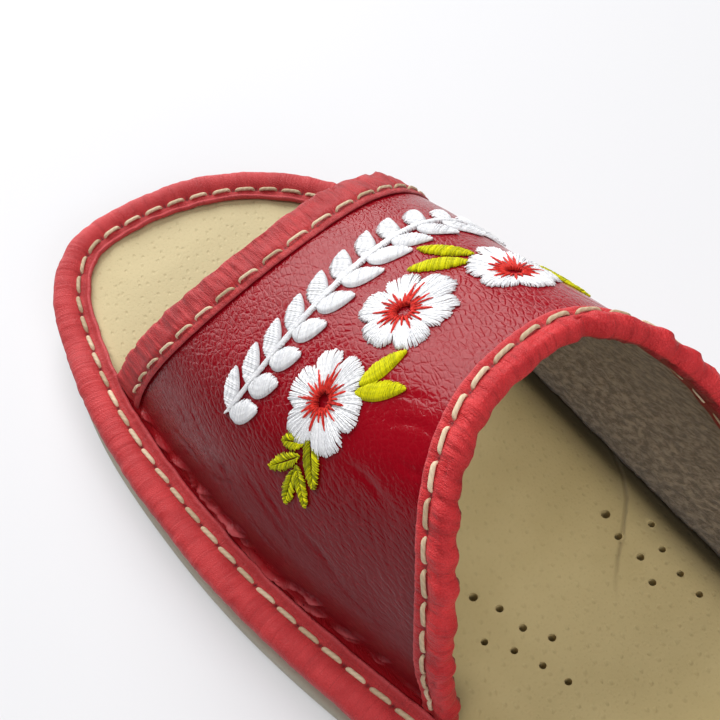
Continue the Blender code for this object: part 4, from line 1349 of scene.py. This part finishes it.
def makeSprig():  # a plain garland of white satin leaves in front of the flowers
    threads = Threads(120)
    random = threads.random
    fine = np.linspace(sprig["start"], sprig["end"], 400)
    run = vampSurface(sprigAlong(fine), np.radians(fine))
    travel = lengthAlong(run)
    for place in np.linspace(0.0, travel[-1] - sprig["endLeaf"], sprig["pairs"]):
        degrees = float(np.interp(place, travel, fine))
        base = (float(sprigAlong(degrees)), degrees)
        patch = Patch(*base)
        ahead = patch.local(float(sprigAlong(degrees + 1.0)), degrees + 1.0)
        heading = math.atan2(ahead[1], ahead[0])
        for side in (-1.0, 1.0):
            turn = heading + side * math.radians(sprig["spread"])
            tipLocal = np.array((math.cos(turn), math.sin(turn))) * sprig["leaf"]
            shift = patch.toSurface @ tipLocal
            foot = patch.toSurface @ (tipLocal * 0.1)
            start = (base[0] + foot[0], base[1] + math.degrees(foot[1]))
            tip = (base[0] + shift[0], base[1] + math.degrees(shift[1]))
            addLeaf(threads, start, tip, sprig["wide"], "across", sprig["tones"], sprig["blunt"])
    count = int(travel[-1] / sprig["stemPitch"])
    for place in np.linspace(0.0, travel[-1], count):
        degrees = float(np.interp(place, travel, fine))
        patch = Patch(float(sprigAlong(degrees)), degrees)
        way = np.array((sprig["stem"],))
        start = -way * random.uniform(0.85, 1.1)
        end = way * random.uniform(0.85, 1.1)
        laid = layThreads(patch, start, end, sprig["stemLift"], sprig["stemLift"])
        threads.add(laid, random.uniform(0.4, 1.0, 1))
    threads.build("white_sprig", "white")


makeOutsole()
makeInsole()
makeBand()
makeVamp()
makeLining()
makeBinding(toeBinding)
makeBinding(throatBinding)
makeBandStitches()
makeBindingStitches("toe_stitches", toeBinding, 72)
makeBindingStitches("throat_stitches", throatBinding, 73)
makeBindingStitches("throat_stitch_backs", throatBinding, 74, True)
for number, row in enumerate(flowers["places"], 1):
    makeFlower(number, *row)
makeLeaves()
makeSprig()
print("pieces made")


# Stage: pale floor that glows as painted light to lift the shoe's shadow, soft light, and the photograph's
# camera

studio = {
    "target": (-1.36, -40.82, 27.5), "distance": 216.36, "azimuth": 141.26, "elevation": 53.98, "roll": -4.03,
    "lens": 53.12, "sensor": 36.0, "floor": 4.0,
    "lights": (  # name, place, aimed at, width, depth in metres, watts
        ("window behind", (-0.35, -1.05, 0.95), (0.0, -0.03, 0.03), 1.3, 1.1, 26.5),
        ("overhead softbox", (0.1, 0.35, 1.2), (0.0, 0.0, 0.02), 1.0, 1.0, 5.5),
        ("paper sweep", (-0.3, -1.4, 0.245), (-0.3, 0.0, 0.245), 1.9, 0.45, 9.4),
        ("heel fill", (0.25, 1.0, 0.8), (0.0, 0.03, 0.02), 0.8, 0.5, 6.5),
    ),
    "world": 0.05,
}


def makeFloor():
    pick()
    bpy.ops.mesh.primitive_plane_add(size=studio["floor"], location=(0.0, 0.0, 0.0))
    floor = bpy.context.object
    floor.name = "studio_floor"
    # the floor glows with its own light, painted light that lifts the shoe's shadow off it
    finish = Finish("studio white", {"Roughness": 0.6, "Specular IOR Level": 0.2, "Emission Strength": 0.285})
    cloud = finish.noise(finish.place(), 0.004, 2.0)
    shade = finish.blend(cloud, colour(0.47, 0.47, 0.482), colour(0.49, 0.49, 0.502))
    floor.data.materials.append(finish.set(baseColor=shade, emissionColor=colour(1.0, 1.0, 1.02)))


def aim(thing, place, goal):
    thing.location = place
    thing.rotation_euler = (Vector(goal) - Vector(place)).to_track_quat("-Z", "Y").to_euler()


def makeLights():
    for name, place, goal, wide, deep, watts in studio["lights"]:
        lamp = bpy.data.lights.new(name, "AREA")
        lamp.shape = "RECTANGLE"
        lamp.size = wide
        lamp.size_y = deep
        lamp.energy = watts
        light = bpy.data.objects.new(name, lamp)
        bpy.context.scene.collection.objects.link(light)
        aim(light, place, goal)
    world = bpy.data.worlds.new("studio air")
    world.use_nodes = True
    sky = world.node_tree.nodes["Background"]
    sky.inputs["Color"].default_value = (1.0, 1.0, 1.0, 1.0)
    sky.inputs["Strength"].default_value = studio["world"]
    bpy.context.scene.world = world
    bpy.context.scene.view_settings.view_transform = "Standard"


def makeCamera():
    azimuth = math.radians(studio["azimuth"])
    elevation = math.radians(studio["elevation"])
    roll = math.radians(studio["roll"])
    back = Vector((math.sin(azimuth) * math.cos(elevation), -math.cos(azimuth) * math.cos(elevation),
                   math.sin(elevation)))
    level = Vector((0.0, 0.0, 1.0)).cross(back).normalized()
    upright = back.cross(level)
    right = level * math.cos(roll) + upright * math.sin(roll)
    upward = upright * math.cos(roll) - level * math.sin(roll)
    lensData = bpy.data.cameras.new("photo camera")
    lensData.sensor_width = studio["sensor"]
    lensData.lens = studio["lens"]
    lensData.clip_start = 0.01
    camera = bpy.data.objects.new("photo camera", lensData)
    bpy.context.scene.collection.objects.link(camera)
    turn = Matrix((right, upward, back)).transposed().to_4x4()
    spot = (Vector(studio["target"]) + back * studio["distance"]) * mm
    camera.matrix_world = Matrix.Translation(spot) @ turn
    bpy.context.scene.camera = camera


makeFloor()
makeLights()
makeCamera()
print("stage set")
